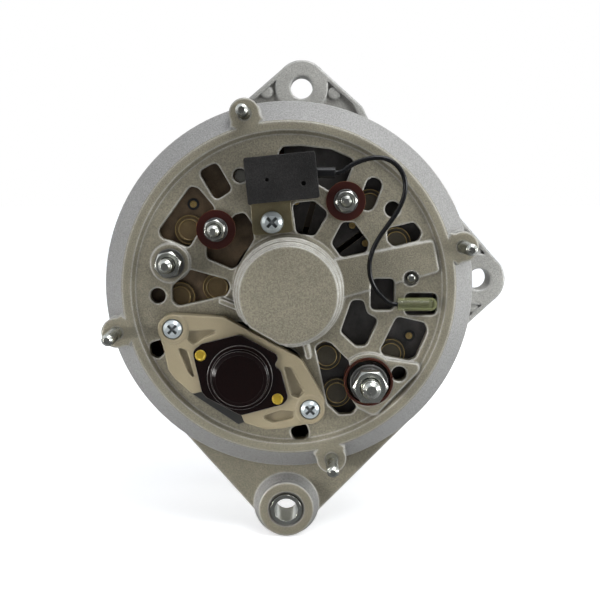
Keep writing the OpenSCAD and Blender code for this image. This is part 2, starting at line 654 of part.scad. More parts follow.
// Windings: a bar in each slot, joined at both ends by the turned-over coils
module stator_windings() {
    r0 = bore_r + 1.4;
    r1 = bore_r + slot_depth + 0.6;
    bar_w = slot_w - 0.6;
    color("#8a4a22") stand() {
        for (i = [0:slot_count - 1]) rotate([0, 0, (i + 0.5) * 360 / slot_count])
            slab(core_d0 - 2, core_d1 + 2) translate([r0, -bar_w / 2]) square([r1 - r0, bar_w]);
        for (s = [-1, 1]) {
            edge = s < 0 ? core_d0 : core_d1;
            turned([[r0, edge + s], [r1, edge + s], [r1 + 0.4, edge + 3 * s],
                [r1 + 0.2, edge + s * (end_turn_len - 3)], [r1 - 3, edge + s * end_turn_len],
                [r0 + 2.5, edge + s * end_turn_len], [r0, edge + s * (end_turn_len - 3)]]);
        }
    }
}

// Rectifier: two heat sinks with pressed-in diodes, and the board for the exciter diodes
module negative_heat_sink() {
    color("#6b5742") stand() slab(sink_d, sink_end) difference() {
        ring_sector(sink_inner_r, sink_r, 96, 199);
        for (p = negative_diode_at) translate(p) circle(r = diode_r + fit);
        translate(ground_at) circle(r = ground_stud_r + fit);
        translate(indicator_at) circle(r = small_stud_r + 1.2 + fit);
        for (p = [sight_screw_at, ground_screw_at]) translate(p) circle(r = screw_r + fit);
    }
}
module positive_heat_sink() {
    color("#3a3835") stand() slab(sink_d, sink_end) difference() {
        ring_sector(sink_inner_r, sink_r, -79, 92);
        for (p = positive_diode_at) translate(p) circle(r = diode_r + fit);
        translate(battery_at) circle(r = battery_stud_r + fit);
        translate(phase_at) circle(r = small_stud_r + 1.2 + fit);
        translate(pad_stud_at) circle(r = pad_stud_r + fit);
        for (p = sink_screw_at) translate(p) circle(r = screw_r + fit);
        for (a = [37, 74]) rotate([0, 0, a]) translate([20, -1.2]) square([22, 2.4]);
    }
}
module diode() {
    turned([[0, diode_top_d + 0.4], [diode_r - 2.3, diode_top_d + 0.4], [diode_r - 2.1, diode_top_d],
        [diode_r - 1.7, diode_top_d], [diode_r - 1.5, diode_top_d + 1], [diode_r - 0.7, diode_top_d + 1],
        [diode_r - 0.5, diode_top_d + 0.7], [diode_r, diode_top_d + 0.7], [diode_r, sink_end + 0.5], [0, sink_end + 0.5]]);
    rod(0.9, sink_end + 0.5, sink_end + 4.5);
}
module negative_diodes() { color("#8a6b35") stand() for (p = negative_diode_at) at(p) diode(); }
module positive_diodes() { color("#6e5a34") stand() for (p = positive_diode_at) at(p) diode(); }
module exciter_board() {
    color("#4c3a1e") stand() slab(sink_end, board_end) difference() {
        union() {
            ring_sector(27, 38, 48, 150);
            translate(phase_at) circle(r = 4.1);
            translate(indicator_at) circle(r = 4.6);
        }
        for (p = [indicator_at, phase_at]) translate(p) circle(r = small_stud_r + fit);
        for (p = concat(negative_diode_at, positive_diode_at)) translate(p) circle(r = diode_r + 0.4);
    }
}
module exciter_diodes() {
    color("#222222") stand() for (a = [72, 97, 122]) rotate([0, 0, a]) translate([32, 0, 0]) {
        rod(2.7, board_end, board_end + 3.2);
        rod(0.5, board_end + 3.2, board_end + 6);
    }
}
module sink_insulators() {
    color("#7c2f1c") stand()
        for (p = concat(sink_screw_at, [pad_stud_at])) at(p) tube_rod(sink_boss_r, screw_r + 0.2, sink_d - 1.5, sink_d);
}
retainer_screw_at = arc([0, 0], front_bearing_r + 5, 45, 315, 3);
retainer_t = 2.5;
module inner_screws() {
    color("#c9c9c4") stand() {
        for (p = concat(sink_screw_at, [ground_screw_at])) at(p) {
            rod(screw_r, face_d + 1.7, sink_end);
            rod(3.6, sink_end, sink_end + 2.4);
        }
        for (p = retainer_screw_at) at(p) {
            rod(screw_r, front_bearing_d - retainer_t, front_bearing_d + 7.5);
            rod(3.6, front_bearing_d - retainer_t - 2.4, front_bearing_d - retainer_t);
        }
        at(sight_screw_at) {
            rod(2.7, sink_d - 2.2, sink_d);
            rod(screw_r, sink_d, sink_end + 5);
            slab(sink_end, sink_end + 3.2) difference() { hexagon(7); circle(r = screw_r + fit); }
        }
    }
}

// Terminals
battery_tip_d = -18;
ground_tip_d = -16;
indicator_tip_d = -15;
phase_tip_d = -6.5;
washer_t = 1.2;
lock_t = 1.5;
cup_floor_d = 5;
cup_foot_r = 7.8;
fibre_t = 2.2;
small_nut_h = 4;
// A stud is a little thinner below its free end, from the depth called neck
module stud(r, tip, neck, root, head_r, head_t) {
    chamfer = 0.6;
    shank_r = r - neck_step;
    turned([[0, tip], [r - chamfer, tip], [r, tip + chamfer], [r, neck], [shank_r, neck], [shank_r, root],
        [head_r, root], [head_r, root + head_t], [0, root + head_t]]);
}
module battery_stud() {
    color("#d6d6d2") stand() at(battery_at)
        stud(battery_stud_r, battery_tip_d, upper_nut_end - battery_nut_h, sink_end, 7, 3);
}
module ground_stud() {
    color("#d6d6d2") stand() at(ground_at)
        stud(ground_stud_r, ground_tip_d, ground_seat_d - ground_nut_h, sink_end, 5.4, 2.5);
}
module small_studs() {
    color("#d6d6d2") stand() {
        at(indicator_at) stud(small_stud_r, indicator_tip_d, small_seat_d - small_nut_h, board_end, 4, 2.5);
        at(phase_at) stud(small_stud_r, phase_tip_d, phase_tip_d + 1, board_end, 4, 2.5);
    }
}
module battery_insulator() {
    color("#4a1d12") stand() at(battery_at) turned([
        [battery_cup_r - 0.9, -0.6], [battery_cup_r, -0.6], [battery_cup_r, inner_d - 0.6],
        [cup_foot_r, inner_d - 0.6], [cup_foot_r, sink_d], [battery_stud_r + fit, sink_d],
        [battery_stud_r + fit, cup_floor_d], [battery_cup_r - 0.9, cup_floor_d]]);
}
module terminal_insulators() {
    spigot = small_stud_r + 1.2;
    color("#5a130c") stand() for (p = [indicator_at, phase_at]) at(p) turned([
        [small_stud_r + fit, face_d - fibre_t], [fibre_r, face_d - fibre_t], [fibre_r, face_d],
        [spigot, face_d], [spigot, sink_end], [small_stud_r + fit, sink_end]]);
}
module nut(flats, r, from, height, neck = neck_step) {
    slab(from, from + height) difference() { hexagon(flats); circle(r = r - neck + fit); }
}
module washer(r_out, r_in, from, t) { tube_rod(r_out, r_in + 0.2, from, from + t); }
battery_nut_h = 6.5;
ground_nut_h = 5;
lower_nut_end = cup_floor_d - washer_t;
upper_nut_end = lower_nut_end - battery_nut_h - lock_t - washer_t;
small_seat_d = face_d - fibre_t - washer_t - lock_t;
ground_seat_d = terminal_pad_d - washer_t - lock_t;
module terminal_nuts() {
    color("#dcdcd8") stand() {
        at(battery_at) {
            nut(13, battery_stud_r, lower_nut_end - battery_nut_h, battery_nut_h);
            nut(13, battery_stud_r, upper_nut_end - battery_nut_h, battery_nut_h);
        }
        at(ground_at) nut(10, ground_stud_r, ground_seat_d - ground_nut_h, ground_nut_h);
        at(indicator_at) nut(8, small_stud_r, small_seat_d - small_nut_h, small_nut_h);
        at(phase_at) nut(8, small_stud_r, face_d - fibre_t - washer_t - small_nut_h, small_nut_h);
    }
}
module terminal_washers() {
    color("#b9b9b4") stand() {
        at(battery_at) {
            washer(8.6, battery_stud_r, lower_nut_end, washer_t);
            washer(8, battery_stud_r, lower_nut_end - battery_nut_h - washer_t, washer_t);
            washer(6.8, battery_stud_r, upper_nut_end, lock_t);
        }
        at(ground_at) {
            washer(6.2, ground_stud_r, terminal_pad_d - washer_t, washer_t);
            washer(5, ground_stud_r, ground_seat_d, lock_t);
        }
        at(indicator_at) {
            washer(5, small_stud_r, face_d - fibre_t - washer_t, washer_t);
            washer(4.4, small_stud_r, small_seat_d, lock_t);
        }
        at(phase_at) washer(5, small_stud_r, face_d - fibre_t - washer_t, washer_t);
    }
}
module pad_stud() { color("#c2c2bd") stand() at(pad_stud_at) stud(pad_stud_r, 0, 1, sink_end, 3.4, 2.2); }

module through_bolts() {
    chamfer = 0.6;
    color("#cfcfca") stand() for (p = bolt_at) at(p) {
        turned([[0, -bolt_proud], [bolt_r - chamfer, -bolt_proud], [bolt_r, -bolt_proud + chamfer],
            [bolt_r, 0], [bolt_r - neck_step, 0], [bolt_r - neck_step, lug_end_d], 
            [bolt_flange_r, lug_end_d], [bolt_flange_r, lug_end_d + 1],
            [0, lug_end_d + 1]]);
        slab(lug_end_d + 1, lug_end_d + 1 + bolt_head_h) hexagon(bolt_af);
    }
}

// Brush holder: the cream moulding under the regulator, with the box that guides both brushes
module brush_channel(d, from, to, room) {
    slab(d - brush_t / 2 - room, d + brush_t / 2 + room)
        translate([from, -brush_w / 2 - room]) square([to - from, brush_w + 2 * room]);
}
module brush_holder() {
    seat = shrunk(plate_outline, can_at, 0.9);
    color("#cfc6a2") stand() difference() {
        union() {
            slab(holder_lip_d, face_d) polygon(rounded(holder_outline, 2));
            slab(plate_d + 1.5, face_d) polygon(rounded(seat, 2));
            for (p = holder_screw_at) at(p) rod(holder_ear_r, holder_lip_d - 0.4, face_d);
            toward_brushes() slab(box_d0, box_d1)
                translate([box_r0, -box_half_w]) square([box_r1 - box_r0, 2 * box_half_w]);
        }
        rod(ring_r + 1, hub_d0 - 3, box_d1 + 1);
        toward_brushes() for (d = brush_d) brush_channel(d, 0, box_r1 - box_wall, slide);
        for (pocket = holder_pockets) slab(holder_lip_d - 1, holder_base_d) polygon(rounded(pocket, 1));
        for (p = holder_screw_at) at(p) {
            rod(holder_head_r + 0.2, holder_lip_d - 1, holder_seat_d);
            rod(screw_r + 0.2, holder_lip_d - 1, face_d + 1);
        }
        for (p = rivet_at) at(p) rod(1.6 + fit, plate_d, face_d + 1);
    }
}
module brush(d) {
    color("#3b3b3d") stand() difference() {
        toward_brushes() slab(d - brush_t / 2, d + brush_t / 2)
            translate([ring_r - 2, -brush_w / 2]) square([brush_r1 - ring_r + 2, brush_w]);
        rod(brush_r0, d - brush_t, d + brush_t);
    }
}
module brush_rear() { brush(brush_d[0]); }
module brush_front() { brush(brush_d[1]); }
module brush_spring(d) {
    wire_r = 0.35;
    turns = 6;
    steps = 10;
    coil_mean = brush_t / 2 - wire_r - 0.25;
    length = spring_len - 2 * wire_r - 0.1;
    start = brush_r1 + wire_r + 0.05;
    route = [for (i = [0:turns * steps]) let (a = 360 * i / steps)
        [start + length * i / (turns * steps), coil_mean * cos(a), belt_d - d + coil_mean * sin(a)]];
    color("#b0b0ac") stand() toward_brushes() tube(route, wire_r, 5, [1, 0, 0]);
}
module brush_spring_rear() { brush_spring(brush_d[0]); }
module brush_spring_front() { brush_spring(brush_d[1]); }

module regulator() {
    color("#151312") stand() {
        difference() {
            slab(plate_d, plate_d + 1.5) polygon(rounded(plate_outline, 3));
            for (p = rivet_at) at(p) rod(1.6 + fit, plate_d - 1, plate_d + 3);
        }
        at(can_at) turned([[0, plate_d - can_h], [can_r - 3.6, plate_d - can_h],
            [can_r - 2, plate_d - can_h + 0.6], [can_r - 1.4, plate_d - 1.6], [can_r, plate_d - 1.2],
            [can_r, plate_d], [0, plate_d]]);
    }
}
module regulator_rivets() {
    color("#b8922e") stand() for (p = rivet_at) at(p) {
        rod(2.35, plate_d - 0.7, plate_d);
        rod(1.6, plate_d, face_d);
    }
}
module regulator_seal() { 
    color("#3c3c3a") stand() slab(-1.5, face_d) difference() {
        polygon(seal_outline);
        polygon(rounded(holder_outline, 2));
    }
}

// Pan-head screws with a cross recess, for the brush holder and for the condenser
module pan_head_screw(r, head_r, head_h, seat_d, length) {
    arm = head_r * 0.58;
    difference() {
        turned([[0, seat_d - head_h], [head_r * 0.6, seat_d - head_h], [head_r * 0.9, seat_d - head_h * 0.7],
            [head_r, seat_d - head_h * 0.35], [head_r, seat_d], [r, seat_d], [r, seat_d + length],
            [0, seat_d + length]]);
        slab(seat_d - head_h - 1, seat_d - head_h * 0.35) for (a = [45, 135])
            rotate([0, 0, a]) square([2 * arm, 0.26 * head_r], center = true);
    }
}
module pan_head_screws() {
    color("#d9dade") stand() {
        for (p = holder_screw_at) at(p) pan_head_screw(screw_r, holder_head_r, 2.8, holder_seat_d, 10.4);
        at(condenser_screw_at) pan_head_screw(bolt_r, 4.7, 3.2, condenser_d1, 6);
    }
}

// Condenser with its bracket, the boot at its lead, the lead and the push-on connector
module condenser() {
    color("#1d1d1e") stand() difference() {
        slab(condenser_d0, condenser_d1) polygon(rounded(condenser_outline, 1));
        at([-8.7, 45.9]) rod(0.8, condenser_d0 - 1, condenser_d0 + 2);
        at([6.1, 44.5]) rod(1, condenser_d0 - 1, condenser_d0 + 2);
    }
}
module condenser_bracket() {
    color("#b5a878") stand() slab(condenser_d1, face_d) difference() {
        polygon(rounded(bracket_outline, 1.5));
        translate(condenser_screw_at) circle(r = bolt_r + 0.3);
    }
}
module condenser_boot() {
    color("#3a3a40") stand() difference() {
        translate([boot_from[0], boot_from[1], belt_d - boot_d]) rotate([0, 90, 0])
            cylinder(r = boot_r, h = boot_len);
        slab(condenser_d0 - 1, condenser_d1 + 1) polygon(rounded(condenser_outline, 1));
    }
}
module condenser_lead() {
    color("#161616") stand()
        tube([for (p = lead_route) [p[0], p[1], belt_d - p[2]]], lead_dia / 2, 8, [0, 0, 1]);
}
module along_x(z, d) { translate([0, z, belt_d - d]) rotate([0, 90, 0]) children(); }
tab_x0 = 52;
tab_x1 = 58;
tab_t = 0.8;
module tab_slot(room) {
    slab(sleeve_d - 1.2 - room, sink_d + 1)
        translate([tab_x0 - room, sleeve_z - tab_t / 2 - room]) square([tab_x1 - tab_x0 + 2 * room, tab_t + 2 * room]);
}
receptacle_r = lead_sleeve_r - 0.7;
module lead_sleeve() {
    nose = lead_sleeve_r;
    color("#c9cc92") stand() difference() {
        along_x(sleeve_z, sleeve_d) {
            translate([0, 0, sleeve_x0]) cylinder(r = lead_sleeve_r, h = sleeve_x1 - nose - sleeve_x0);
            translate([0, 0, sleeve_x1 - nose]) sphere(r = nose);
        }
        along_x(sleeve_z, sleeve_d) translate([0, 0, sleeve_x0 - 1])
            cylinder(r = receptacle_r + fit, h = sleeve_x1 - nose - sleeve_x0 + 1);
        tab_slot(0.15);
    }
}
module lead_receptacle() {
    color("#b8a25a") stand() difference() {
        along_x(sleeve_z, sleeve_d) translate([0, 0, sleeve_x0]) cylinder(r = receptacle_r, h = 13);
        tab_slot(0.05);
    }
}
module lead_tab() {
    color("#b8a25a") stand() slab(sleeve_d - 1.2, sink_d)
        translate([tab_x0, sleeve_z - tab_t / 2]) square([tab_x1 - tab_x0, tab_t]);
}

// Ball bearings: races with a round groove, and the balls in their cage
module bearing_outer(r_out, r_bore, width, d, ball_r) {
    pitch = (r_out + r_bore) / 2;
    turned_with_groove(pitch + ball_r * 0.62, r_out, d, width, pitch, ball_r);
}
module bearing_inner(r_out, r_bore, width, d, ball_r) {
    pitch = (r_out + r_bore) / 2;
    turned_with_groove(r_bore + fit, pitch - ball_r * 0.62, d, width, pitch, ball_r);
}
module turned_with_groove(r_in, r_out, d, width, pitch, ball_r) {
    difference() {
        tube_rod(r_out, r_in, d, d + width);
        rotate_extrude() translate([pitch, belt_d - d - width / 2]) circle(r = ball_r + slide);
    }
}
module balls_and_cage(r_out, r_bore, width, d, ball_r, count) {
    pitch = (r_out + r_bore) / 2;
    middle = belt_d - d - width / 2;
    cage_half = ball_r + 0.9;
    cage_r = ball_r * 0.35;
    for (i = [0:count - 1]) rotate([0, 0, i * 360 / count]) translate([pitch, 0, middle]) sphere(r = ball_r);
    difference() {
        translate([0, 0, middle - cage_half]) difference() {
            cylinder(r = pitch + cage_r, h = 2 * cage_half);
            translate([0, 0, -1]) cylinder(r = pitch - cage_r, h = 2 * cage_half + 2);
        }
        for (i = [0:count - 1]) rotate([0, 0, i * 360 / count])
            translate([pitch - 2 * cage_r, 0, middle]) rotate([0, 90, 0]) cylinder(r = ball_r + slide, h = 4 * cage_r);
    }
}
module rear_bearing_outer() {
    color("#c8c8c6") stand()
        bearing_outer(rear_bearing_r, rear_bearing_bore, rear_bearing_w, rear_bearing_d, rear_ball_r);
}
module rear_bearing_inner() {
    color("#c8c8c6") stand()
        bearing_inner(rear_bearing_r, rear_bearing_bore, rear_bearing_w, rear_bearing_d, rear_ball_r);
}
module rear_balls() {
    color("#d8d8d6") stand()
        balls_and_cage(rear_bearing_r, rear_bearing_bore, rear_bearing_w, rear_bearing_d, rear_ball_r, 8);
}
module front_bearing_outer() {
    color("#c8c8c6") stand()
        bearing_outer(front_bearing_r, front_bearing_bore, front_bearing_w, front_bearing_d, front_ball_r);
}
module front_bearing_inner() {
    color("#c8c8c6") stand()
        bearing_inner(front_bearing_r, front_bearing_bore, front_bearing_w, front_bearing_d, front_ball_r);
}
module front_balls() {
    color("#d8d8d6") stand()
        balls_and_cage(front_bearing_r, front_bearing_bore, front_bearing_w, front_bearing_d, front_ball_r, 7);
}
module bearing_retainer() {
    color("#9a9a96") stand() slab(front_bearing_d - retainer_t, front_bearing_d) difference() {
        circle(r = front_bearing_r + 8);
        circle(r = front_bearing_r - 3);
        for (p = retainer_screw_at) translate(p) circle(r = screw_r + 0.2);
    }
}

// Rotor
journal_r = rear_bearing_bore;
seat_r = front_bearing_bore;
keyway_d = [pulley_d + 3, pulley_d + 19];
key_w = 5;
key_h = 5;
key_r0 = seat_r - 3;
module shaft() {
    color("#b7b7b3") stand() difference() {
        turned([[0, rear_bearing_d - 0.4], [journal_r - 0.5, rear_bearing_d - 0.4],
            [journal_r, rear_bearing_d + 0.1], [journal_r, hub_d1], [shaft_r - 0.8, hub_d1],
            [shaft_r - 0.8, rear_pole_d], [shaft_r, rear_pole_d], [shaft_r, front_pole_end],
            [shaft_r + 1, front_pole_end], [shaft_r + 1, front_bearing_d], [seat_r, front_bearing_d],
            [seat_r, pulley_hub_end], [thread_r, pulley_hub_end], [thread_r, shaft_end - 1],
            [thread_r - 1, shaft_end], [0, shaft_end]]);
        slab(keyway_d[0], keyway_d[1]) translate([key_r0, -key_w / 2 - fit]) square([10, key_w + 2 * fit]);
    }
}
module shaft_key() {
    color("#8f8f8b") stand() slab(keyway_d[0] + fit, keyway_d[1] - fit)
        translate([key_r0 + fit, -key_w / 2]) square([key_h, key_w]);
}

// A claw pole: a disc whose fingers taper to their tips, drawn from its outer face inwards
module claw_pole(outer_d, way, turn) {
    function depth(t) = outer_d + way * t;
    reach = front_pole_end - rear_pole_d - 4;
    half_gap = (front_pole_end - rear_pole_d) / 2;
    rotate([0, 0, turn]) intersection() {
        turned([[shaft_r + fit, outer_d], [rotor_r - 3, outer_d], [rotor_r, depth(3)],
            [rotor_r, depth(reach)], [rotor_r - 3, depth(reach)], [coil_r + 2.4, depth(pole_t)],
            [half_core_r, depth(pole_t)], [half_core_r, depth(half_gap)], [shaft_r + fit, depth(half_gap)]]);
        union() {
            rod(coil_r - 2, rear_pole_d - 1, front_pole_end + 1);
            for (i = [0:finger_count - 1]) rotate([0, 0, i * 360 / finger_count])
                translate([20, 0, belt_d]) rotate([0, 90, 0]) linear_extrude(rotor_r)
                    polygon([[depth(-1), -finger_root_w / 2], [depth(-1), finger_root_w / 2],
                        [depth(pole_t), finger_root_w / 2 - 0.6], [depth(reach + 1), finger_tip_w / 2],
                        [depth(reach + 1), -finger_tip_w / 2], [depth(pole_t), -finger_root_w / 2 + 0.6]]);
        }
    }
}
module rear_pole() { color("#77756f") stand() claw_pole(rear_pole_d, 1, 0); }
module front_pole() { color("#77756f") stand() claw_pole(front_pole_end, -1, 180 / finger_count); }
coil_d0 = rear_pole_d + pole_t;
coil_d1 = front_pole_end - pole_t;
module coil_bobbin() {
    r0 = half_core_r + fit;
    color("#2f4a38") stand() turned([
        [r0, coil_d0 + 0.2], [coil_r, coil_d0 + 0.2], [coil_r, coil_d0 + 0.2 + flange_t],
        [r0 + 1.2, coil_d0 + 0.2 + flange_t], [r0 + 1.2, coil_d1 - 0.2 - flange_t],
        [coil_r, coil_d1 - 0.2 - flange_t], [coil_r, coil_d1 - 0.2], [r0, coil_d1 - 0.2]]);
}
module field_coil() {
    color("#a4571f") stand() tube_rod(coil_r - 0.8, half_core_r + 1.2 + 2 * fit,
        coil_d0 + 0.3 + flange_t, coil_d1 - 0.3 - flange_t);
}
module slip_ring_hub() {
    color("#5b3a20") stand() tube_rod(hub_r, journal_r + fit, hub_d0, hub_d1);
}
module slip_rings() {
    color("#b5703a") stand() for (d = rings_d) tube_rod(ring_r, hub_r + fit, d, d + ring_w);
}
module spacer() {
    color("#9d9d99") stand() tube_rod(front_bearing_bore + 4.4, seat_r + fit, front_bearing_end, fan_disc_d);
}

// Fan: a disc with curved blades that stand towards the shield
module fan_blade() {
    curve_r = 34;
    root_r = 36;
    translate([root_r - 1, -curve_r + 4]) difference() {
        circle(r = curve_r);
        circle(r = curve_r - fan_t);
        translate([-2 * curve_r, -curve_r - 1]) square([2 * curve_r, 2 * curve_r + 2]);
        translate([-1, -2 * curve_r]) square([2 * curve_r + 2, 2 * curve_r - 6]);
    }
}
module fan() {
    color("#3d3f42") stand() difference() {
        union() {
            rod(fan_r, fan_disc_d, pulley_d);
            intersection() {
                slab(nose_d + fan_gap, fan_disc_d + 0.5)
                    for (i = [0:blade_count - 1]) rotate([0, 0, i * 360 / blade_count]) fan_blade();
                turned([[30, nose_d + fan_gap], [fan_r - 9, nose_d + fan_gap], [fan_r - 1, nose_d + fan_gap + 6],
                    [fan_r - 1, pulley_d], [30, pulley_d]]);
            }
        }
        rod(seat_r + fit, fan_disc_d - 1, pulley_d + 1);
    }
}

// Pulley: two belt grooves, with a recess in front for the nut
module pulley() {
    edge = 1;
    recess_r = 25;
    floor_half = groove_w / 2 - groove_depth * tan(groove_angle / 2);
    grooves = [for (s = [-1, 1]) let (d = belt_d + s * groove_pitch / 2)
        each [[pulley_r, d - groove_w / 2], [pulley_r - groove_depth, d - floor_half],
              [pulley_r - groove_depth, d + floor_half], [pulley_r, d + groove_w / 2]]];
    end = pulley_d + pulley_w;
    color("#4a4c4e") stand() difference() {
        turned(concat([[seat_r + fit, pulley_d], [pulley_r - edge, pulley_d], [pulley_r, pulley_d + edge]],
            grooves, [[pulley_r, end - edge], [pulley_r - edge, end], [recess_r + 1, end],
            [recess_r, end - 1], [recess_r, pulley_hub_end], [seat_r + fit, pulley_hub_end]]));
        slab(pulley_d - 1, pulley_hub_end + 1)
            translate([0, -key_w / 2 - fit]) square([key_r0 + key_h + 2 * fit, key_w + 2 * fit]);
    }
}
module spring_washer() {
    color("#a9a9a5") stand() difference() {
        tube_rod(13.4, thread_r + 0.3, pulley_hub_end, nut_d);
        slab(pulley_hub_end - 1, nut_d + 1) translate([0, -1]) square([20, 2]);
    }
}
module pulley_nut() { color("#c4b46a") stand() nut(pulley_nut_af, thread_r, nut_d, pulley_nut_h, 0); }

// The sliding sleeve in the rear pivot ear
module pivot_sleeve() {
    color("#d2d4d6") stand() at(pivot)
        tube_rod(sleeve_r, ear_bore_r, pivot_d - sleeve_proud, pivot_d + pivot_len + sleeve_proud);
}

rear_shield();
drive_shield();
stator_core();
stator_windings();
negative_heat_sink();
positive_heat_sink();
negative_diodes();
positive_diodes();
exciter_board();
exciter_diodes();
sink_insulators();
inner_screws();
battery_stud();
battery_insulator();
ground_stud();
small_studs();
terminal_insulators();
terminal_nuts();
terminal_washers();
pad_stud();
through_bolts();
brush_holder();
pan_head_screws();
regulator();
regulator_rivets();
regulator_seal();
condenser();
condenser_bracket();
condenser_boot();
condenser_lead();
lead_sleeve();
lead_receptacle();
lead_tab();
rear_bearing_outer();
front_bearing_outer();
bearing_retainer();
shaft();
rear_pole();
front_pole();
field_coil();
coil_bobbin();
slip_ring_hub();
slip_rings();
rear_bearing_inner();
front_bearing_inner();
spacer();
fan();
pulley();
shaft_key();
spring_washer();
pulley_nut();
rear_balls();
front_balls();
brush_rear();
brush_front();
brush_spring_rear();
brush_spring_front();
pivot_sleeve();
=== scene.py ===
# %% [markdown]
# # A truck alternator, seen from its slip-ring end
# The solids of the part are loaded from model.glb, without their parents. This script dresses them:
# it sets up the studio, gives every solid a finish, and adds what is too fine for the solids, such as
# screw threads, chamfered nuts and the wires of the windings. Everything is in metres.

# %% Start from the solids
import json
import math
import random
import bmesh
import bpy
from mathutils import Matrix, Vector


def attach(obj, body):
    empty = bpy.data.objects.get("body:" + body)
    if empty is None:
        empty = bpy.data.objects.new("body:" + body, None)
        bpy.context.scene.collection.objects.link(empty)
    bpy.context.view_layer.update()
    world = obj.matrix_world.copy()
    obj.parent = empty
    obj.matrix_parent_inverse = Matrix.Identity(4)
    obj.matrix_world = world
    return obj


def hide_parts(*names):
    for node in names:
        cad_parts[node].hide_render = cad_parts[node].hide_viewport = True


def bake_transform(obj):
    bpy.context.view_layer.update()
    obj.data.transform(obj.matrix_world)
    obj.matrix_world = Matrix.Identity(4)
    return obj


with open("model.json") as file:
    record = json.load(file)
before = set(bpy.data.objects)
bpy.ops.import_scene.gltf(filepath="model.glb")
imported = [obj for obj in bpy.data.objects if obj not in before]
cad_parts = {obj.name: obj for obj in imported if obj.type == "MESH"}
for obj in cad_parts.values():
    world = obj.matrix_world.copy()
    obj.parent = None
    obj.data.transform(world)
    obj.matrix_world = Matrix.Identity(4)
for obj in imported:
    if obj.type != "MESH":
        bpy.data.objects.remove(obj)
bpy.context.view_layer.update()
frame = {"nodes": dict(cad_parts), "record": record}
NODES = frame["nodes"]
SLOT_OF = {part["node"]: part["material_slot"] for part in frame["record"]["subparts"]}

# %% [markdown]
# ## Places as the drawing gives them
# The part's own origin lies where the belts run, but everything that the picture shows is measured from
# the rear rim. One helper turns such a place, in millimetres, into a point in metres, so the rest of the
# script can use the drawing's numbers as they are.

# %% Places
MM = 0.001
RIM_TO_BELT = 137.0


def place(x, z, depth):
    """A point given as the drawing gives it: x and z in millimetres, and depth forwards from the rear rim."""
    return Vector((x * MM, (depth - RIM_TO_BELT) * MM, z * MM))


print("the middle of the rear rim is at", tuple(round(v, 4) for v in place(0, 0, 0)))

# %% [markdown]
# ## The camera
# The photograph looks at the rear face from about 38 cm, a little above the shaft. A short distance
# makes what stands nearest look larger, so distance matters as much as direction. Distance and lens
# could be traded for each other by eye. It is better to settle the distance first, by how much smaller
# the parts further back look, and then the lens, by how much of the picture the part fills.

# %% Camera
EYE, LOOKED_AT = (4.1, 43.5, -380), (4.67, -4.17, 0)
camera_data = bpy.data.cameras.new("camera")
camera_data.sensor_width = 36.0
camera_data.lens = 54.6
camera = bpy.data.objects.new("camera", camera_data)
bpy.context.scene.collection.objects.link(camera)
camera.location = place(*EYE)
look = place(*LOOKED_AT) - camera.location
camera.rotation_euler = look.to_track_quat("-Z", "Y").to_euler()
camera_data.clip_start, camera_data.clip_end = 0.01, 20
bpy.context.scene.camera = camera
print("camera", round(look.length, 3), "m from the rear rim")

# %% [markdown]
# ## The condenser's lead
# A thin rubber-covered wire leaves the boot, loops over and drops to a push-on terminal. It could be
# swept as a solid, but Blender draws such a wire as a curve with round thickness, which stays light and
# keeps its own line. The curve's points are the drawing's own points, made smooth in between, so it
# passes through each of them.

# %% Route of the lead
LEAD_POINTS = [
    (18.9, 48.9, -7.5), (20.4, 48.9, -7.5), (22.4, 49.6, -7.6), (25, 51.5, -7.8), (29.5, 53.6, -8),
    (35, 54.8, -8), (40, 54.2, -8), (44, 51.6, -8), (46.6, 47.6, -8), (47.4, 43, -7.8),
    (46.6, 38, -7.4), (44, 32.4, -6.8), (40.6, 27.4, -6.2), (37, 22, -5.6), (34.4, 16.4, -5),
    (33.4, 11, -4.6), (34, 5.6, -4), (36.2, 0.8, -3.4), (39.6, -3, -2.8), (42.2, -5.1, -2.2),
    (44, -5.7, -2), (45.5, -5.7, -2)]
LEAD_WIDTH = 2.0 * MM


def smooth_route(points, steps):
    """Points along a curve that passes through all the given ones."""
    ends = [2 * points[0] - points[1]] + points + [2 * points[-1] - points[-2]]
    route = []
    for a, b, c, d in zip(ends, ends[1:], ends[2:], ends[3:]):
        for k in range(steps):
            t = k / steps
            route.append(0.5 * (2 * b + (c - a) * t + (2 * a - 5 * b + 4 * c - d) * t * t
                                + (3 * b - a - 3 * c + d) * t ** 3))
    return route + [points[-1]]


def curve_object(name, route, radius):
    data = bpy.data.curves.new(name, "CURVE")
    data.dimensions = "3D"
    data.bevel_depth = 1.0  # the points' own radius scales it, and keeps the curve's box tight
    data.bevel_resolution = 4
    data.use_fill_caps = True
    spline = data.splines.new("POLY")
    spline.points.add(len(route) - 1)
    for point, spot in zip(spline.points, route):
        point.co = (*spot, 1.0)
        point.radius = radius
    spline.use_smooth = True
    thing = bpy.data.objects.new(name, data)
    bpy.context.scene.collection.objects.link(thing)
    return thing


lead_route = smooth_route([place(*p) for p in LEAD_POINTS], 5)
lead = curve_object("lead", lead_route, LEAD_WIDTH / 2)
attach(lead, "alternator")
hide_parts("condenser_lead")
